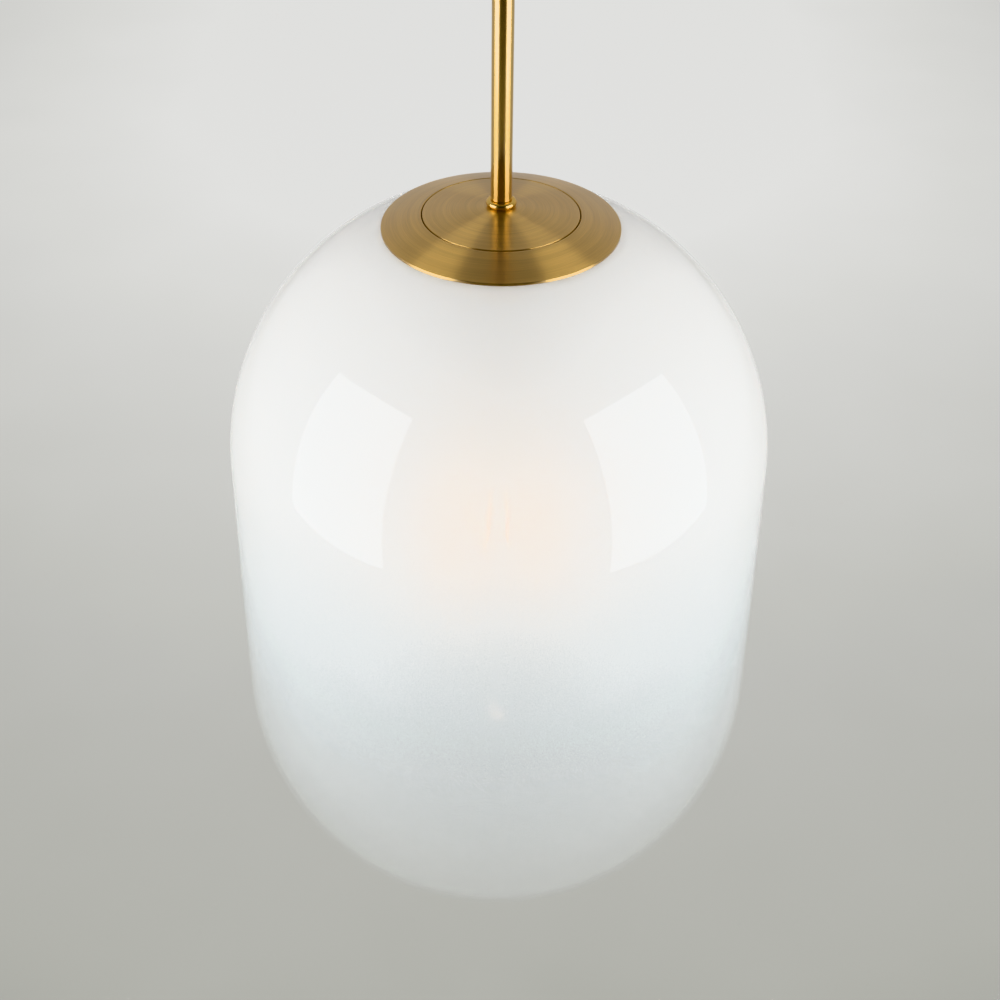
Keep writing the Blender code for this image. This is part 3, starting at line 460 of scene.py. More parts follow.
def moulded(name, colour, deep, roughness, grain=900.0, **settings):
    """Plastic, rubber or ceramic: a slight mottling and a fine surface grain."""
    nodes = new_material(name)
    cloudy = nodes.noise(nodes.place(), 90.0, 3.0)
    fine = nodes.noise(nodes.place(), grain, 2.0)
    nodes.set(Base_Color=nodes.blend(nodes.span(cloudy, 0.3, 0.7), deep, colour), **settings)
    nodes.set(Roughness=nodes.span(fine, 0.3, 0.7, roughness - 0.04, roughness + 0.06))
    nodes.bump(fine, 0.00002, 0.4)
    return nodes.owner


# Heights on the shade, from its middle: white above the first, nearly clear below the last
OPAL_FULL, OPAL_GONE = 0.16, -0.16
# How much of a ray the glass stops where it is clearest, and how much its inner face stops
LEAST_VEIL, INNER_VEIL = 0.05, 0.26
VEIL_TINT, OPAL_TINT = (0.79, 0.86, 0.90), (0.93, 0.92, 0.905)
# Noise scale, detail and reach in metres. The fine grain keeps the veil from starting at a line.
OPAL_UNEVEN, OPAL_GRAIN = (5.0, 2.0, 0.02), (4000.0, 0.0, 0.11)


def opal_share(nodes):
    """How white the glass is at each height, from 1 at the top to 0 at the bottom, slightly unevenly."""
    level = nodes.height()
    for scale, detail, reach in (OPAL_UNEVEN, OPAL_GRAIN):
        wander = nodes.math("SUBTRACT", nodes.noise(nodes.place(), scale, detail), 0.5)
        level = nodes.math("ADD", level, nodes.math("MULTIPLY", wander, reach))
    return nodes.span(level, GLOBE_CENTRE + OPAL_GONE, GLOBE_CENTRE + OPAL_FULL, curve="SMOOTHSTEP")


def opal_glass():
    """The outside of the blown glass: opal white at the top, which thins to a bluish veil and then clears."""
    nodes = new_material("opal_glass")
    opal = opal_share(nodes)
    nodes.set(Base_Color=nodes.ramp(opal, [(0.0, VEIL_TINT), (0.45, VEIL_TINT), (0.95, OPAL_TINT)]))
    nodes.set(Alpha=nodes.span(opal, 0.0, 1.0, LEAST_VEIL, 1.0))
    nodes.set(Roughness=0.9, Transmission_Weight=0.3, IOR=1.45)
    nodes.set(Coat_Weight=1.0, Coat_Roughness=0.015, Coat_IOR=1.5)
    nodes.bump(nodes.noise(nodes.place(), 14.0, 1.5), 0.0002, 0.25)
    return nodes.owner


def glass_inside():
    """The inner face of the blown glass: a faint gloss that mirrors the lamp."""
    nodes = new_material("glass_inside")
    faint = nodes.noise(nodes.place(), 9.0, 2.0)
    nodes.set(Base_Color=nodes.blend(faint, (0.90, 0.93, 0.96), (0.96, 0.97, 0.98)))
    nodes.set(Roughness=0.4, Transmission_Weight=0.8, IOR=1.45, Alpha=INNER_VEIL)
    nodes.set(Coat_Weight=1.0, Coat_Roughness=0.06, Coat_IOR=2.0)
    return nodes.owner


def clear_glass():
    """Thin blown glass that hardly shows but for its gloss, which is stronger where it is seen edge on."""
    nodes = new_material("clear_glass")
    faint = nodes.noise(nodes.place(), 40.0, 2.0)
    nodes.set(Base_Color=nodes.blend(faint, (0.93, 0.95, 0.945), (0.99, 1.0, 1.0)))
    edge = nodes.add("ShaderNodeLayerWeight")
    edge.inputs["Blend"].default_value = 0.4
    nodes.set(Alpha=nodes.span(edge.outputs["Facing"], 0.0, 1.0, 0.08, 0.45))
    nodes.set(Roughness=0.1, Transmission_Weight=0.9, IOR=1.48, Coat_Weight=1.0, Coat_Roughness=0.02)
    return nodes.owner


FILAMENT_LIGHT, CHIP_PITCH = 95.0, 0.0014


def glowing_filament():
    """A strip of LED chips under yellow phosphor: warm light, with a faint beading along it."""
    nodes = new_material("led_phosphor")
    beads = nodes.math("SINE", nodes.math("MULTIPLY", nodes.height(), 2 * math.pi / CHIP_PITCH))
    warm = nodes.blend(nodes.span(beads, -1.0, 1.0), (1.0, 0.66, 0.44), (1.0, 0.76, 0.56))
    rough = nodes.span(nodes.noise(nodes.place(), 800.0), 0.3, 0.7, 0.4, 0.6)
    nodes.set(Emission_Color=warm, Base_Color=warm, Roughness=rough, Emission_Strength=FILAMENT_LIGHT)
    return nodes.owner


GOLD, DEEP_GOLD, PALE_GOLD = (0.79, 0.495, 0.13), (0.49, 0.285, 0.07), (0.80, 0.535, 0.19)
BRASS_TUBE = brushed_metal(
    "brushed_brass_tube", PALE_GOLD, GOLD, 0.2, 0.0002, contrast=0.4, depth=0.000002, coat=0.12
)
BRASS_NUT = plain_metal("polished_brass", PALE_GOLD, GOLD, 0.18)
OPAL_INSIDE = glass_inside()

BRASS, STEEL = "brushed_brass", "zinc_steel"
SLOTS = {
    BRASS: brushed_metal(BRASS, GOLD, DEEP_GOLD, 0.36, 0.00035, anisotropy=1.0, contrast=1.4),
    "aluminium": brushed_metal("aluminium", (0.78, 0.78, 0.77), (0.66, 0.66, 0.66), 0.30, 0.0003),
    STEEL: plain_metal(STEEL, (0.66, 0.66, 0.64), (0.52, 0.52, 0.51), 0.34),
    "green_steel": plain_metal("green_steel", (0.12, 0.42, 0.15), (0.08, 0.30, 0.10), 0.32),
    "contact_brass": plain_metal("contact_brass", (0.78, 0.62, 0.32), (0.66, 0.50, 0.24), 0.28),
    "opal_glass": opal_glass(),
    "clear_glass": clear_glass(),
    "led_phosphor": glowing_filament(),
    "silicone": moulded("silicone", (0.80, 0.80, 0.77), (0.74, 0.74, 0.71), 0.55, Subsurface_Weight=0.2),
    "nylon": moulded("nylon", (0.84, 0.84, 0.80), (0.78, 0.78, 0.74), 0.45, Subsurface_Weight=0.15),
    "porcelain": moulded(
        "porcelain", (0.86, 0.85, 0.80), (0.80, 0.79, 0.74), 0.16, 300.0, Coat_Weight=0.6
    ),
    "phenolic": moulded("phenolic", (0.018, 0.018, 0.018), (0.012, 0.012, 0.012), 0.34),
    "cable_sheath": moulded("cable_sheath", (0.05, 0.05, 0.05), (0.035, 0.035, 0.035), 0.42),
    "live_core": moulded("live_core", (0.24, 0.10, 0.04), (0.19, 0.08, 0.03), 0.38),
    "neutral_core": moulded("neutral_core", (0.04, 0.13, 0.46), (0.03, 0.10, 0.38), 0.38),
    "earth_core": moulded("earth_core", (0.08, 0.40, 0.07), (0.06, 0.32, 0.05), 0.38),
}


def paint(obj, material):
    obj.data.materials.clear()
    obj.data.materials.append(material)
    return obj


def stands_for(obj, body, slot, *nodes, material=None):
    """obj rides on body, takes the slot's finish, and is shown in place of these CAD nodes."""
    paint(obj, material or SLOTS[slot])
    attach(obj, body)
    if nodes:
        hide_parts(*nodes)
    return obj


def paint_cad_nodes():
    """Every CAD node gets its slot's material. Those that a fine piece replaces aren't shown."""
    for part in frame["record"]["subparts"]:
        for slot in frame["nodes"][part["node"]].material_slots:
            slot.material = SLOTS[part["material_slot"]]


# ---- ceiling end


CANOPY_WALL, CANOPY_CORNER, RIM_ROUND = 0.0012, 0.006, 0.0003
BRACKET_THICK, BRACKET_HALF, BRACKET_CORNER = 0.002, 0.009, 0.003
SLOT_NEAR, SLOT_FAR, SLOT_RADIUS = 0.03495, 0.0445, 0.0025
STUD_RADIUS, STUD_HOLE, STUD_PITCH, GROUND_HOLE = 0.002, 0.0023, 0.0007, 0.0019
LOCK_NUT, STEM_NUT = 0.0040, 0.0081
BALL_RADIUS, BALL_SEAT, BALL_SEAT_HEIGHT, BALL_CENTRE, BALL_BORE = 0.0055, 0.0034, 0.0012, 0.0056, 0.0068
# Terminal block: its two ways, the notch between them, and each way's wire mouth and screw well
WAY_X, WAIST_HALF, WAIST_HEIGHT = 0.006, 0.0008, 0.004
MOUTH_RISE, MOUTH_RADIUS, WELL_RADIUS, BLOCK_SCREW_RISE = 0.0065, 0.0016, 0.0021, 0.0018
CORE_RADIUS, CORE_X, EARTH_Z = 0.0008, 0.0012, -0.0054
# Each screw's head radius and height, shank radius and length, and its slot's width
GROUND_SCREW = (0.0032, 0.0020, 0.0016, 0.0020, 0.0007)
BLOCK_SCREW = (0.0019, 0.0012, 0.0012, 0.0010, 0.0005)
PIVOT_SCREW = (0.0034, 0.0016, 0.0020, 0.0066, 0.0007)
CLIP_SCREW = (0.0027, 0.0016, 0.0015, 0.0062, 0.0007)


def make_canopy():
    (_, floor, radius), corner = extent("canopy"), CANOPY_CORNER
    inside = radius - CANOPY_WALL
    outer = arc(radius - corner, floor + corner, corner, 0, -90, 16)
    inner = arc(radius - corner, floor + corner, corner - CANOPY_WALL, -90, 0, 16)
    rim = [(inside, -RIM_ROUND), (inside + RIM_ROUND, 0), (radius - RIM_ROUND, 0), (radius, -RIM_ROUND)]
    hole = [(NIPPLE_HOLE, floor), (NIPPLE_HOLE, floor + CANOPY_WALL)]
    canopy = turned("canopy_shell", [*rim, *outer, *hole, *inner], 160)
    holes = [((side * STUD_X, 0, floor), AXIS_Z, STUD_HOLE, 0.01) for side in (-1, 1)]
    stands_for(drilled(canopy, holes), "canopy", BRASS, "canopy")


def make_bracket():
    """A flat cross with holes for the studs and the ground screw, and slots for the ceiling box's screws."""
    arm, half, corner = high("ceiling_bracket")[0], BRACKET_HALF, BRACKET_CORNER
    cross = []
    for quarter in range(4):
        turn = Matrix.Rotation(quarter * math.pi / 2, 2)
        tip = arc(arm - corner, corner - half, corner, -90, 0, 6)
        tip += arc(arm - corner, half - corner, corner, 0, 90, 6)
        cross += [tuple(turn @ Vector(p)) for p in [*tip, (half, half)]]
    openings = []
    for side, near_start, far_start in ((-1, 0, 180), (1, 180, 0)):
        near = arc(0, side * SLOT_NEAR, SLOT_RADIUS, near_start, near_start + 180, 24)
        far = arc(0, side * SLOT_FAR, SLOT_RADIUS, far_start, far_start + 180, 24)
        openings += [circle(side * STUD_X, 0, STUD_HOLE), near + far]
    openings.append(circle(GROUND_X, 0, GROUND_HOLE))
    cutters = [slab("opening", outline, -2 * BRACKET_THICK, BRACKET_THICK) for outline in openings]
    bracket = combined(slab("ceiling_cross", cross, -BRACKET_THICK, 0), "DIFFERENCE", *cutters)
    stands_for(bevelled(bracket, 0.0002, 2), "canopy", STEEL, "ceiling_bracket")


def threaded_rod(name, node, radius, pitch):
    """A rod at its node's height with a ridge for each turn of its thread."""
    top, bottom, _ = extent(node)
    root = radius - pitch * 0.45
    profile = [(root, top)]
    for i in range(int((top - bottom) / pitch) - 1):
        crest, half_land = top - pitch * (i + 1), pitch * 0.08
        profile += [(radius, crest + half_land), (radius, crest - half_land), (root, crest - pitch / 2)]
    return turned(name, [*profile, (root, bottom), (0, bottom), (0, top)], 32)


def hex_nut(name, node, body, radius, hole, x=0.0):
    """A steel hexagon nut at its node's height, with its corners turned off and its bore countersunk."""
    top, bottom, _ = extent(node)
    over, sink, wide = 0.001, 0.0004, hole + 0.0011
    land, slope = radius * 0.93, radius * 0.14
    trim = [(0, top), (land, top), (radius + over, top - slope), (radius + over, bottom + slope)]
    trim += [(land, bottom), (0, bottom)]
    bore = [(0, top + over), (wide, top + over), (hole, top - sink), (hole, bottom + sink)]
    bore += [(wide, bottom - over), (0, bottom - over)]
    nut = combined(slab(name, circle(0, 0, radius, 6), bottom, top), "INTERSECT", turned("trim", trim, 64))
    combined(nut, "DIFFERENCE", turned("bore", bore, 48))
    stands_for(moved(nut, x), body, STEEL, node)


def screw(name, size, place, axis):
    """A cheese-head screw whose head's underside is at place, with its head pointing along axis."""
    radius, height, shank, length, slot_width = size
    profile = [(0, height), (radius, height), (radius, 0), (shank, 0), (shank, -length), (0, -length)]
    body = turned(name, softened(profile, 0.0004), 64)
    over = radius * 1.3
    slot = box("slot", (-over, -slot_width / 2, height * 0.5), (over, slot_width / 2, height * 1.6))
    bevelled(combined(body, "DIFFERENCE", slot), 0.00006, 2, 60)
    return placed(body, pointing(place, axis))


def make_canopy_fixings():
    for side, hand in ((-1, "left"), (1, "right")):
        x = side * STUD_X
        stud, nut, ball = "canopy_stud_" + hand, "stud_lock_nut_" + hand, "canopy_ball_nut_" + hand
        rod = threaded_rod("stud_thread_" + hand, stud, STUD_RADIUS, STUD_PITCH)
        stands_for(moved(rod, x), "canopy", STEEL, stud)
        hex_nut("lock_nut_hex_" + hand, nut, "canopy", LOCK_NUT, STUD_HOLE, x)
        top = high(ball)[2]
        centre, bore_end = top - BALL_CENTRE, top - BALL_BORE
        profile = [(STUD_HOLE, top), (BALL_SEAT, top), (BALL_SEAT, top - BALL_SEAT_HEIGHT)]
        profile += [*arc(0, centre, BALL_RADIUS, 51, -88, 28), (0, centre - BALL_RADIUS)]
        knob = turned("ball_nut_knob_" + hand, [*profile, (0, bore_end), (STUD_HOLE, bore_end)], 64)
        stands_for(moved(knob, x), "canopy", BRASS, ball, material=BRASS_NUT)
    ground = screw("ground_screw_head", GROUND_SCREW, (GROUND_X, 0, -BRACKET_THICK - GAP), DOWN)
    stands_for(ground, "canopy", "green_steel", "ground_screw")


def make_terminal_block():
    """Two-way connector: a ribbed body, with a wire mouth and a screw well for each way."""
    lowest, highest = Vector(low("terminal_block")), Vector(high("terminal_block"))
    middle_y, under, over = (lowest.y + highest.y) / 2, lowest.z, 0.001
    waist_low = (-WAIST_HALF, lowest.y - over, under - over)
    waist = box("waist", waist_low, (WAIST_HALF, highest.y + over, under + WAIST_HEIGHT))
    block = combined(box("terminal_body", lowest, highest), "DIFFERENCE", waist)
    holes = []
    for x in (-WAY_X, WAY_X):
        holes.append(((x, middle_y, under + MOUTH_RISE), AXIS_Y, MOUTH_RADIUS, 0.04))
        holes.append(((x, middle_y, under), AXIS_Z, WELL_RADIUS, 0.005))
    stands_for(bevelled(drilled(block, holes), 0.0004, 3, 60), "canopy", "nylon", "terminal_block")
    for x, hand in ((-WAY_X, "left"), (WAY_X, "right")):
        head = screw("block_screw_" + hand, BLOCK_SCREW, (x, middle_y, under + BLOCK_SCREW_RISE), DOWN)
        stands_for(head, "canopy", "contact_brass")


def make_canopy_leads():
    """The cable's cores above its sheath, on the routes that their CAD tubes take."""
    lift = high("cable_upper")[2] + GAP
    entry = low("terminal_block")[1] - GAP
    for side, node, slot in ((1, "core_live", "live_core"), (-1, "core_neutral", "neutral_core")):
        x, far_x = side * CORE_X, side * WAY_X
        route = [(x, 0.0006, lift), (x, 0.0010, lift + 0.0025), (x * 2, 0.004, lift + 0.0042)]
        route += [(far_x * 0.8, 0.009, lift + 0.0030), (far_x, entry - 0.002, lift + 0.0018)]
        route += [(far_x, entry + 0.003, lift + 0.0016)]
        stands_for(wire(node + "_lead", route, CORE_RADIUS), "canopy", slot, node)
    route = [(0, -0.0014, lift), (-0.0004, -0.0024, lift + 0.0024), (-0.0045, -0.0042, lift + 0.0040)]
    route += [(-0.011, -0.0038, EARTH_Z - 0.0006), (GROUND_X + 0.0048, -0.0012, EARTH_Z)]
    route += [(GROUND_X + 0.0036, -0.0006, EARTH_Z)]
    stands_for(wire("core_earth_lead", route, CORE_RADIUS), "canopy", "earth_core", "core_earth")


# ---- swivel and stem


# Turns a slab so that its outline is drawn in (y, z) and its thickness lies along X
ACROSS_X = Matrix(((0, 0, 1, 0), (1, 0, 0, 0), (0, 1, 0, 0), (0, 0, 0, 1)))
YOKE_RADIUS, YOKE_EAR, YOKE_FOOT, YOKE_EDGE, YOKE_REACH = 0.011, 0.009, 0.012, 0.0008, 0.012
YOKE_SLOT, YOKE_SLOT_TOP = 0.0075, 0.010
KNUCKLE_EAR, KNUCKLE_HALF, KNUCKLE_SLOT, KNUCKLE_NECK, NECK_DROP = 0.0085, 0.0072, 0.0042, 0.0065, 0.0055
COLLAR_TOP, COLLAR_RADIUS, SOCKET_Z = -0.0575, 0.008, -0.0700
PIN_HOLE = ((0, 0, PIVOT_Z), AXIS_X, 0.0023, 0.04)


def make_yoke():
    """A round casting with a spigot, sliced to two ears with a slot between them for the knuckle."""
    spigot_top, top, foot = high("swivel_yoke")[2], low("canopy")[2] - GAP, PIVOT_Z - YOKE_FOOT
    profile = [(NIPPLE_BORE, spigot_top), (NIPPLE_RADIUS, spigot_top), (NIPPLE_RADIUS, top)]
    profile += [(YOKE_RADIUS - YOKE_EDGE, top), (YOKE_RADIUS, top - YOKE_EDGE)]
    yoke = turned("yoke_casting", [*profile, (YOKE_RADIUS, foot), (NIPPLE_BORE, foot)], 96)
    reach = YOKE_REACH
    outline = arc(0, PIVOT_Z, YOKE_EAR, 180, 360, 40)
    outline += [(reach, PIVOT_Z + 0.001), (reach, spigot_top + 0.001), (-reach, spigot_top + 0.001)]
    outline += [(-reach, PIVOT_Z + 0.001)]
    combined(yoke, "INTERSECT", slab("side", outline, -reach, reach, ACROSS_X))
    slot = box("slot", (-YOKE_SLOT, -0.02, foot - 0.001), (YOKE_SLOT, 0.02, PIVOT_Z + YOKE_SLOT_TOP))
    drilled(combined(yoke, "DIFFERENCE", slot), [PIN_HOLE])
    stands_for(bevelled(yoke, 0.0003, 3, 50), "swivel", BRASS, "swivel_yoke")


def make_knuckle():
    """Two ears on the pin, joined to a collar with a socket for the stem."""
    rim, radius, edge, neck = low("stem_knuckle")[2], COLLAR_RADIUS, 0.0008, KNUCKLE_NECK
    outline = [(neck, PIVOT_Z - NECK_DROP), *arc(0, PIVOT_Z, KNUCKLE_EAR, 0, 180, 40)]
    outline += [(-neck, PIVOT_Z - NECK_DROP), (-neck, COLLAR_TOP - 0.001), (neck, COLLAR_TOP - 0.001)]
    knuckle = slab("knuckle_casting", outline, -KNUCKLE_HALF, KNUCKLE_HALF, ACROSS_X)
    slot = box("slot", (-KNUCKLE_SLOT, -0.02, COLLAR_TOP + 0.0003), (KNUCKLE_SLOT, 0.02, PIVOT_Z + 0.02))
    combined(knuckle, "DIFFERENCE", slot)
    collar = [(0, COLLAR_TOP), (radius - edge, COLLAR_TOP), (radius, COLLAR_TOP - edge)]
    collar += [(radius, rim + edge), (radius - edge, rim), (0, rim)]
    combined(knuckle, "UNION", turned("collar", collar, 96))
    socket = ((0, 0, SOCKET_Z), AXIS_Z, TUBE_RADIUS + GAP, 0.02)
    drilled(knuckle, [socket, ((0, 0, COLLAR_TOP), AXIS_Z, NIPPLE_BORE, 0.02), PIN_HOLE])
    stands_for(bevelled(knuckle, 0.00025, 3, 50), "stem", BRASS, "stem_knuckle")


def make_swivel():
    make_yoke()
    make_knuckle()
    hex_nut("swivel_nut_hex", "swivel_nut", "swivel", STEM_NUT, NIPPLE_HOLE)
    for side, hand in ((-1, "left"), (1, "right")):
        place = (side * (YOKE_RADIUS + GAP), 0, PIVOT_Z)
        pivot = screw("pivot_screw_head_" + hand, PIVOT_SCREW, place, (side, 0, 0))
        stands_for(pivot, "swivel", BRASS, "pivot_screw_" + hand, material=BRASS_NUT)


def make_tube(name, node, slot, material=None):
    top, bottom, radius = extent(node)
    profile = softened([(TUBE_BORE, top), (radius, top), (radius, bottom), (TUBE_BORE, bottom)], 0.0003)
    stands_for(turned(name, profile, 96), "stem", slot, node, material=material)


def make_cable_bend():
    """The short run of cable at the pin, made as one fixed piece that doesn't bend as the stem swings."""
    start, end = (0, 0, low("cable_upper")[2]), (0, 0, high("cable_lower")[2])
    bend = wire("cable_bend", [start, (0, 0, PIVOT_Z), end], high("cable_upper")[0], 24)
    paint(bend, SLOTS["cable_sheath"])
    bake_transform(bend)


def make_stem():
    make_tube("stem_tube_upper", "upper_stem", BRASS, BRASS_TUBE)
    make_tube("stem_tube_lower", "lower_stem", BRASS, BRASS_TUBE)
    make_tube("inner_stem_tube", "inner_tube", STEEL)
    top, bottom, radius = extent("stem_bead")
    half = (top - bottom) / 2
    bead = [(NIPPLE_HOLE, top), *arc(radius - half, top - half, half, 90, -90, 24), (NIPPLE_HOLE, bottom)]
    stands_for(turned("bead_ring", bead), "stem", BRASS, "stem_bead", material=BRASS_NUT)
    make_cable_bend()


# ---- cap


CROWN, EDGE_ROUND = 0.0003, 0.0006
LUG_Z, LUG_RADIUS, LUG_TIP, LUG_ROOM = SEAM_Z - 0.0105, 0.002, 0.0441, 0.0023
TWIST, MOUTH_HALF = math.radians(25), math.radians(3.2)
RIM_DROP, COLLAR_DROP = 0.0077, 0.0024
CLIP_THICK, CLIP_HALF, CLIP_BEND, CLIP_HOLE = 0.0012, 0.006, 0.0015, 0.0018


def sector(start, end, points=16):
    """The outline of a cutter through the plate's skirt, between two angles in radians."""
    turns = [start + (end - start) * i / (points - 1) for i in range(points)]
    inside, outside = SKIRT_RADIUS - SKIRT_WALL - 0.001, SKIRT_RADIUS + 0.001
    outer = [(outside * math.cos(t), outside * math.sin(t)) for t in turns]
    return outer + [(inside * math.cos(t), inside * math.sin(t)) for t in reversed(turns)]


def make_plate():
    """The cap's middle, a shallow cone with a fine edge, over a skirt with its bayonet slots."""
    under, skirt_end, skirt_in = PLATE_TOP - PLATE_THICK, low("socket_plate")[2], SKIRT_RADIUS - SKIRT_WALL
    edge, edge_z = EDGE_ROUND, SEAM_Z + EDGE_ROUND / 4
    profile = [(NIPPLE_HOLE, PLATE_TOP)]
    profile += bulged((PLATE_LAND, PLATE_TOP), (PLATE_RADIUS - edge, edge_z), CROWN)
    profile += arc(PLATE_RADIUS - edge, edge_z - edge, edge, 80, 0, 5)
    profile += [(PLATE_RADIUS, SEAM_Z - 0.0005), (SKIRT_RADIUS, SEAM_Z - 0.001), (SKIRT_RADIUS, skirt_end)]
    profile += [(skirt_in, skirt_end), (skirt_in, SEAM_Z - 0.003), (PLATE_LAND + 0.001, under)]
    plate = turned("cap_plate", [*profile, (NIPPLE_HOLE, under)], 192)
    cutters = []
    for i in range(LUGS):
        at = 2 * math.pi * i / LUGS
        far = at + TWIST + MOUTH_HALF
        cutters.append(slab("run", sector(at - MOUTH_HALF, far), LUG_Z - LUG_ROOM, LUG_Z + LUG_ROOM))
        cutters.append(slab("mouth", sector(far - 2 * MOUTH_HALF, far), LUG_Z - 0.02, LUG_Z))
    stands_for(combined(plate, "DIFFERENCE", *cutters), "stem", BRASS, "socket_plate")


def make_ring():
    """The cap's outer ring, which lies on the glass, and its collar with the three lugs."""
    rim_top, collar_out, collar_end = SEAM_Z - RIM_DROP, RING_BORE + COLLAR_WALL, low("fitter_ring")[2]
    edge, near_z, far_z = EDGE_ROUND, SEAM_Z - EDGE_ROUND / 4, rim_top + EDGE_ROUND / 3
    profile = arc(RING_BORE + edge, near_z - edge, edge, 180, 100, 5)
    profile += bulged((RING_BORE + edge, near_z), (RING_RADIUS - edge, far_z), CROWN)
    profile += arc(RING_RADIUS - edge, far_z - edge, edge, 70, 0, 5)
    profile += [(RING_RADIUS, rim_top - RING_EDGE + 0.0001), (RING_RADIUS - 0.0001, rim_top - RING_EDGE)]
    profile += [(collar_out, SEAM_Z - COLLAR_DROP), (collar_out, collar_end), (RING_BORE, collar_end)]
    ring = turned("cap_ring", profile, 192)
    length, radius = RING_BORE + COLLAR_WALL / 2 - LUG_TIP, LUG_RADIUS
    side = softened([(0, length / 2), (radius, length / 2), (radius, -length / 2), (0, -length / 2)], 0.0003)
    lugs = []
    for i in range(LUGS):
        place, outward = spoke(i, LUGS, LUG_Z, LUG_TIP + length / 2)
        lugs.append(placed(turned("lug", side, 32), pointing(place, outward)))
    combined(ring, "UNION", *lugs)
    holes = [(*spoke(i + 0.5, CLIPS, CLIP_SCREW_Z, RING_BORE), CLIP_HOLE, 0.02) for i in range(CLIPS)]
    stands_for(drilled(ring, holes), "shade", BRASS, "fitter_ring")


def make_clips():
    """Steel clips bent from strip, that hook under the glass, and their screws."""
    foot_top, foot_end, reach = high("glass_clamp_2")[2], low("glass_clamp_2")[2], -low("glass_clamp_2")[0]
    leg, thick, bend = RING_BORE + COLLAR_WALL + GAP, CLIP_THICK, CLIP_BEND
    # The clip's side view as (radius, z): up the leg, round the bend and out along the foot.
    outer = [(leg, foot_end), *arc(leg + bend, foot_top - bend, bend, 180, 90, 8), (reach, foot_top)]
    inner = [(reach, foot_top - thick), *arc(leg + bend, foot_top - bend, bend - thick, 90, 180, 8)]
    outline = [*outer, *inner, (leg + thick, foot_end)]
    upright = Matrix(((1, 0, 0, 0), (0, 0, -1, 0), (0, 1, 0, 0), (0, 0, 0, 1)))
    for i in range(CLIPS):
        clip = slab(f"glass_clip_{i + 1}", outline, -CLIP_HALF, CLIP_HALF, upright)
        drilled(clip, [((leg, 0, CLIP_SCREW_Z), AXIS_X, CLIP_HOLE, 0.01)])
        bevelled(clip, 0.00015, 2, 50)
        placed(clip, Matrix.Rotation(2 * math.pi * (i + 0.5) / CLIPS, 4, "Z"))
        stands_for(clip, "shade", STEEL, f"glass_clamp_{i + 1}")
        place, outward = spoke(i + 0.5, CLIPS, CLIP_SCREW_Z, RING_BORE - GAP)
        head = screw(f"clip_screw_{i + 1}", CLIP_SCREW, place, -outward)
        stands_for(head, "shade", STEEL, f"clamp_screw_{i + 1}")


# ---- glass


def make_glass():
    """A capsule of one wall with a flat shoulder and a rolled lip. Its inner face has its own material."""
    radius, lip = GLOBE_RADIUS, LIP_THICK / 2
    inside = radius - GLOBE_WALL
    bowl = GLOBE_END + radius
    dome = 2 * GLOBE_CENTRE - bowl
    start = math.degrees(math.acos(RING_RADIUS / radius))
    inner_start = math.degrees(math.acos((RING_RADIUS + 0.001) / inside))
    neck = arc(NECK_RADIUS + lip, SHOULDER_Z - lip, lip, 270, 90, 16)
    outer = arc(0, dome, radius, start, 0, 40) + arc(0, bowl, radius, 0, -90, 56)[:-1]
    inner = arc(0, bowl, inside, -90, 0, 56)[1:] + arc(0, dome, inside, 0, inner_start, 40)
    profile = [*neck, (SHOULDER_OUT, SHOULDER_Z), *outer, (0, bowl - radius), (0, bowl - inside), *inner]
    profile.append((SHOULDER_OUT, SHOULDER_Z - LIP_THICK - 0.0006))
    glass = stands_for(turned("blown_glass", profile, 192), "shade", "opal_glass", "glass_shade")
    glass.data.materials.append(OPAL_INSIDE)
    for face in glass.data.polygons:
        outward = face.center - Vector((0, 0, min(max(face.center.z, bowl), dome)))
        face.material_index = int(face.normal.dot(outward) < 0 and outward.length < inside + 0.0005)


# ---- lampholder and bulb


CUP_WALL, CUP_CORNER, CUP_LIP = 0.001, 0.003, 0.0003
SHELL_BORE, SHELL_WALL, THREAD_SHELL_WALL = 0.0143, 0.0015, 0.0005
THREADS, THREAD_PITCH, THREAD_DEPTH, THREAD_START = 5, 0.0036, 0.0008, 0.0016
CAP_RIM_BORE, CAP_SKIRT = 0.0098, 0.0064
BULB_NECK, BULB_WALL, BULB_BALL = 0.0119, 0.0008, 0.030
FILAMENTS, FILAMENT_NEAR, FILAMENT_FAR = 4, 0.0065, 0.0095
STRIP_FLAT, STRIP_ROUND, SPIDER_WIRE = 0.0005, 0.0004, 0.00022


def make_holder():
    corner = CUP_CORNER
    outer = arc(CUP_RADIUS - corner, CUP_TOP - corner, corner, 90, 0, 12)
    inner = arc(CUP_RADIUS - corner, CUP_TOP - corner, corner - CUP_WALL, 0, 90, 10)
    lip = [(CUP_RADIUS, CUP_END + CUP_LIP), (CUP_RADIUS - CUP_LIP, CUP_END), (CUP_RADIUS - CUP_WALL, CUP_END)]
    side = [(NIPPLE_HOLE, CUP_TOP), *outer, *lip, *inner, (NIPPLE_HOLE, CUP_TOP - CUP_WALL)]
    stands_for(turned("lampholder_cup", side), "stem", BRASS, "socket_cup")
    top, bottom, radius = extent("holder_shell")
    inside, step = radius - SHELL_WALL, high("centre_contact")[2]
    shell = [(inside, top), (radius, top), (radius, bottom), (SHELL_BORE, bottom), (SHELL_BORE, step)]
    shell = softened([*shell, (inside, step)], 0.0005)
    stands_for(turned("lampholder_shell", shell, 96), "stem", "phenolic", "holder_shell")
    top, bottom, radius = extent("screw_shell")
    inside = radius - THREAD_SHELL_WALL
    liner = softened([(inside, top), (radius, top), (radius, bottom), (inside, bottom)], 0.0001)
    stands_for(turned("thread_shell", liner, 96), "stem", "contact_brass", "screw_shell")


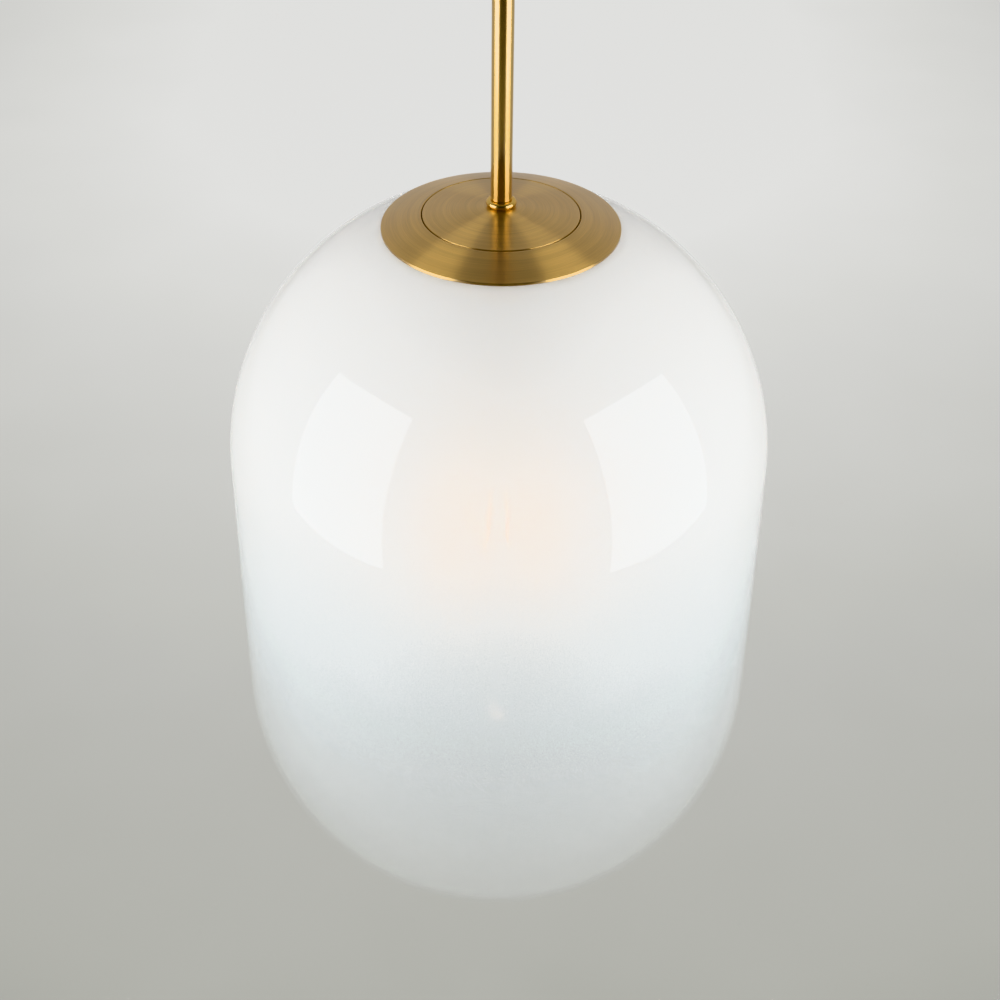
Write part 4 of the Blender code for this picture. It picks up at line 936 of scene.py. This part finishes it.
def thread_waves(points=10):
    """The wavy outline of the bulb cap's rolled thread, from its top down."""
    made = []
    for i in range(THREADS * points + 1):
        share = i / points
        wave = THREAD_DEPTH / 2 * (math.cos(2 * math.pi * share + math.pi) - 1)
        made.append((CAP_RADIUS + wave, CAP_TOP - THREAD_START - THREAD_PITCH * share))
    return made


def make_bulb_cap():
    radius, neck, inside = CAP_RADIUS, BULB_NECK + GAP, CAP_RADIUS - 0.0015
    profile = [(CAP_RIM_BORE, CAP_TOP), (0.0108, CAP_TOP), (0.0116, CAP_TOP - 0.0006), *thread_waves()]
    profile += [(radius, CAP_END + 0.0016), (radius, CAP_END), (neck, CAP_END), (neck, CAP_END + CAP_SKIRT)]
    profile += [(inside, CAP_END + CAP_SKIRT + 0.0004), (inside, CAP_TOP - 0.002)]
    profile.append((CAP_RIM_BORE, CAP_TOP - 0.0008))
    stands_for(turned("bulb_cap_rolled", profile, 96), "bulb", "aluminium", "bulb_screw_cap")


def make_envelope():
    """The pear: its neck flares by a smooth curve into the round end."""
    top, bottom, _ = extent("bulb_envelope")
    neck, centre = BULB_NECK, bottom + BULB_BALL
    flare = [(neck, top), (neck, CAP_END - 0.001), (neck + 0.0008, CAP_END - 0.006)]
    flare += [(neck + 0.0036, CAP_END - 0.014), (neck + 0.0088, CAP_END - 0.0250)]
    flare += [(neck + 0.0140, CAP_END - 0.0365), *arc(0, centre, BULB_BALL, 18, 0, 3)]
    side = [(p.x, p.z) for p in smooth([(x, 0, z) for x, z in flare], 8)]
    side += arc(0, centre, BULB_BALL, 0, -90, 36)[1:-1]
    scale = (BULB_BALL - BULB_WALL) / BULB_BALL
    inner = []
    for x, z in side:
        in_neck = z > centre + 0.012
        inner.append((x - BULB_WALL, z) if in_neck else (x * scale, centre + (z - centre) * scale))
    profile = [*side, (0, bottom), (0, bottom + BULB_WALL), *inner[::-1]]
    stands_for(turned("bulb_glass", profile), "bulb", "clear_glass", "bulb_envelope")


def make_mount():
    """Glass stem, two wire spiders, and the four LED filaments between them."""
    (top, bottom, _), skirt = extent("bulb_mount"), 0.0105
    near_z, far_z, _ = extent("led_filament_1")
    side = [(skirt, top - 0.001, 0), (0.0070, top - 0.005, 0), (0.0040, top - 0.010, 0)]
    side += [(0.0024, top - 0.018, 0), (0.0016, near_z, 0), (0.0016, bottom + 0.0008, 0)]
    profile = [(0, top), (skirt, top), *[(p.x, p.y) for p in smooth(side, 6)], (0.0009, bottom), (0, bottom)]
    stands_for(turned("bulb_glass_stem", profile, 48), "bulb", "clear_glass", "bulb_mount")
    ends = []
    for i in range(FILAMENTS):
        near, outward = spoke(i + 0.5, FILAMENTS, near_z - 0.0001, FILAMENT_NEAR)
        far = outward * FILAMENT_FAR + Vector((0, 0, far_z + 0.0001))
        ends.append((near, far))
        half = (near - far).length / 2
        profile = [(0, half), *arc(STRIP_FLAT, half - STRIP_ROUND, STRIP_ROUND, 90, 0, 5)]
        profile += [*arc(STRIP_FLAT, STRIP_ROUND - half, STRIP_ROUND, 0, -90, 5), (0, -half)]
        strip = placed(turned(f"led_strip_{i + 1}", profile, 24), pointing((near + far) / 2, near - far))
        stands_for(strip, "bulb", "led_phosphor", f"led_filament_{i + 1}")
    for name, z, end in (("near", near_z + 0.0010, 0), ("far", far_z - 0.0010, 1)):
        for i in range(FILAMENTS):
            tip = ends[i][end]
            route = [(0, 0, z), (tip.x * 0.5, tip.y * 0.5, z), (tip.x * 0.94, tip.y * 0.94, z), tuple(tip)]
            spider = wire(f"spider_{name}_{i + 1}", route, SPIDER_WIRE, 8)
            stands_for(spider, "bulb", "aluminium", material=SLOTS[STEEL])


# ---- studio


# The camera looks down at the middle of the glass from the front, a little above the cap.
CAMERA_DISTANCE = 7.24 * GLOBE_RADIUS
CAMERA_PITCH, CAMERA_ROLL = math.radians(37.36), math.radians(0.57)
CAMERA_LENS, CAMERA_SENSOR = 66.4, 36
CAMERA_SHIFT = (0.00225, 0.0548)
# The room's brightness: as a light in front and behind, and seen directly
ROOM_FRONT, ROOM_BACK, ROOM_SEEN, ROOM_COLOUR = 0.08, 0.58, 0.70, (1.0, 0.995, 0.98, 1)
BOX_POWER, BOX_COLOUR = 36.0, (0.95, 0.98, 1.0)
FILL_POWER, FILL_COLOUR = 6.0, (1.0, 0.965, 0.93)
# Each softbox's centre from the middle of the glass, the way it faces, and its width and height
BOX_LEFT = (-1.49, -0.59, 0.30), (0.72, 0.69, -0.09), (1.37, 1.69)
BOX_RIGHT = (1.49, -0.56, 0.30), (-0.72, 0.69, -0.09), (1.45, 1.69)
BOX_FILL = (0, -1.2, 1.1), (0, 0.74, -0.68), (1.2, 1.2)
FLOOR_Z, FLOOR_RADIUS = -2.2, 9.0
POOL_Y, POOL_REACH = 4.0, 5.1
# The painted pool of light, which the floor gives off as a glow: share of its reach, brightness, and blue
# against the other colours
PAINTED_POOL = (
    (0.0, 0.71, 0.985), (0.18, 0.71, 0.98), (0.293, 0.61, 0.965), (0.413, 0.50, 0.95), (0.54, 0.38, 0.92),
    (0.627, 0.32, 0.89), (0.667, 0.27, 0.87), (0.7, 0.27, 0.88), (1.0, 0.55, 0.97),
)
FLAG_HALF, FLAG_LOW, FLAG_HIGH = 1.3, -2.3, 1.4
FLAG_PLACE, FLAG_FACING = (0, -2.1, 0.2), (0, 1, -0.1)


def make_camera():
    data = bpy.data.cameras.new("camera")
    data.lens, data.sensor_width = CAMERA_LENS, CAMERA_SENSOR
    data.shift_x, data.shift_y = CAMERA_SHIFT
    data.clip_start, data.clip_end = 0.01, 60
    camera = new_object("camera", data)
    back = Vector((0, -math.cos(CAMERA_PITCH), math.sin(CAMERA_PITCH))) * CAMERA_DISTANCE
    turn = Matrix.Rotation(math.pi / 2 - CAMERA_PITCH, 4, "X") @ Matrix.Rotation(CAMERA_ROLL, 4, "Z")
    camera.matrix_world = Matrix.Translation(Vector((0, 0, GLOBE_CENTRE)) + back) @ turn
    bpy.context.scene.camera = camera


def make_softbox(name, setting, power, colour):
    centre, facing, size = setting
    data = bpy.data.lights.new(name, "AREA")
    data.shape = "RECTANGLE"
    data.size, data.size_y = size
    data.energy, data.color = power, colour
    light = new_object(name, data)
    light.matrix_world = pointing(Vector(centre) + Vector((0, 0, GLOBE_CENTRE)), -Vector(facing))
    light.visible_camera = False
    return light


def make_floor():
    """A pale studio floor with a pool of light painted on it behind the lamp, as a glow that the floor gives
    off.
    """
    floor = slab("studio_floor", circle(0, 0, FLOOR_RADIUS, 96), FLOOR_Z - 0.02, FLOOR_Z)
    nodes = new_material("studio_paper_painted_glow")
    from_pool = nodes.vector("SUBTRACT", nodes.place(), (0.0, POOL_Y, FLOOR_Z))
    # Only the floor in front of the pool's middle darkens, as the painted light fades.
    away = nodes.vector("LENGTH", nodes.vector("MINIMUM", from_pool, (100.0, 0.0, 100.0)))
    grain = nodes.math("MULTIPLY", nodes.math("SUBTRACT", nodes.noise(nodes.place(), 3.0, 2.0), 0.5), 0.04)
    share = nodes.math("ADD", nodes.span(away, 0.0, POOL_REACH), grain)
    # The floor glows with painted light that follows the pool's ramp, over a dark base colour.
    nodes.set(Base_Color=(0.2, 0.2, 0.2, 1), Roughness=0.9, Specular_IOR_Level=0.1, Emission_Strength=1.0)
    painted_pool_glow = nodes.ramp(share, [(at, (level, level, level * blue)) for at, level, blue in PAINTED_POOL])
    nodes.set(Emission_Color=painted_pool_glow)
    paint(floor, nodes.owner)


def make_flag():
    """A dark card behind the camera, between the softboxes, that the metal reflects."""
    half = FLAG_HALF
    outline = [(-half, FLAG_LOW), (half, FLAG_LOW), (half, FLAG_HIGH), (-half, FLAG_HIGH)]
    flag = placed(slab("studio_flag", outline, -0.01, 0.01), pointing(FLAG_PLACE, FLAG_FACING))
    nodes = new_material("black_card")
    nodes.set(Roughness=nodes.span(nodes.noise(nodes.place(), 4.0), 0.0, 1.0, 0.7, 0.9))
    nodes.set(Base_Color=(0.03, 0.03, 0.03, 1))
    paint(flag, nodes.owner)
    flag.visible_camera = False
    flag.visible_shadow = False


def make_room():
    """Seen directly the room is pale. As a light it is dimmer, and darkest in front, behind the camera."""
    nodes = Nodes(bpy.data.worlds.new("studio"), "Background")
    split = nodes.add("ShaderNodeSeparateXYZ")
    nodes.give(split.inputs[0], nodes.add("ShaderNodeTexCoord").outputs["Generated"])
    light = nodes.span(split.outputs["Y"], -0.6, 0.7, ROOM_FRONT, ROOM_BACK, "SMOOTHSTEP")
    strength = nodes.add("ShaderNodeMix")
    nodes.give(strength.inputs["Factor"], nodes.add("ShaderNodeLightPath").outputs["Is Camera Ray"])
    nodes.give(strength.inputs["A"], light)
    strength.inputs["B"].default_value = ROOM_SEEN
    nodes.set(Color=ROOM_COLOUR, Strength=strength.outputs["Result"])
    bpy.context.scene.world = nodes.owner


def make_lights():
    make_softbox("softbox_left", BOX_LEFT, BOX_POWER, BOX_COLOUR)
    make_softbox("softbox_right", BOX_RIGHT, BOX_POWER, BOX_COLOUR)
    fill = make_softbox("softbox_fill", BOX_FILL, FILL_POWER, FILL_COLOUR)
    fill.visible_glossy = False


paint_cad_nodes()
make_camera()
make_canopy()
make_bracket()
make_canopy_fixings()
make_terminal_block()
make_canopy_leads()
make_swivel()
make_stem()
make_plate()
make_ring()
make_clips()
hex_nut("cap_nut_hex", "cap_nut", "stem", STEM_NUT, NIPPLE_HOLE)
make_glass()
make_holder()
make_bulb_cap()
make_envelope()
make_mount()
make_floor()
make_flag()
make_room()
make_lights()

bpy.context.scene.view_settings.view_transform = "Khronos PBR Neutral"
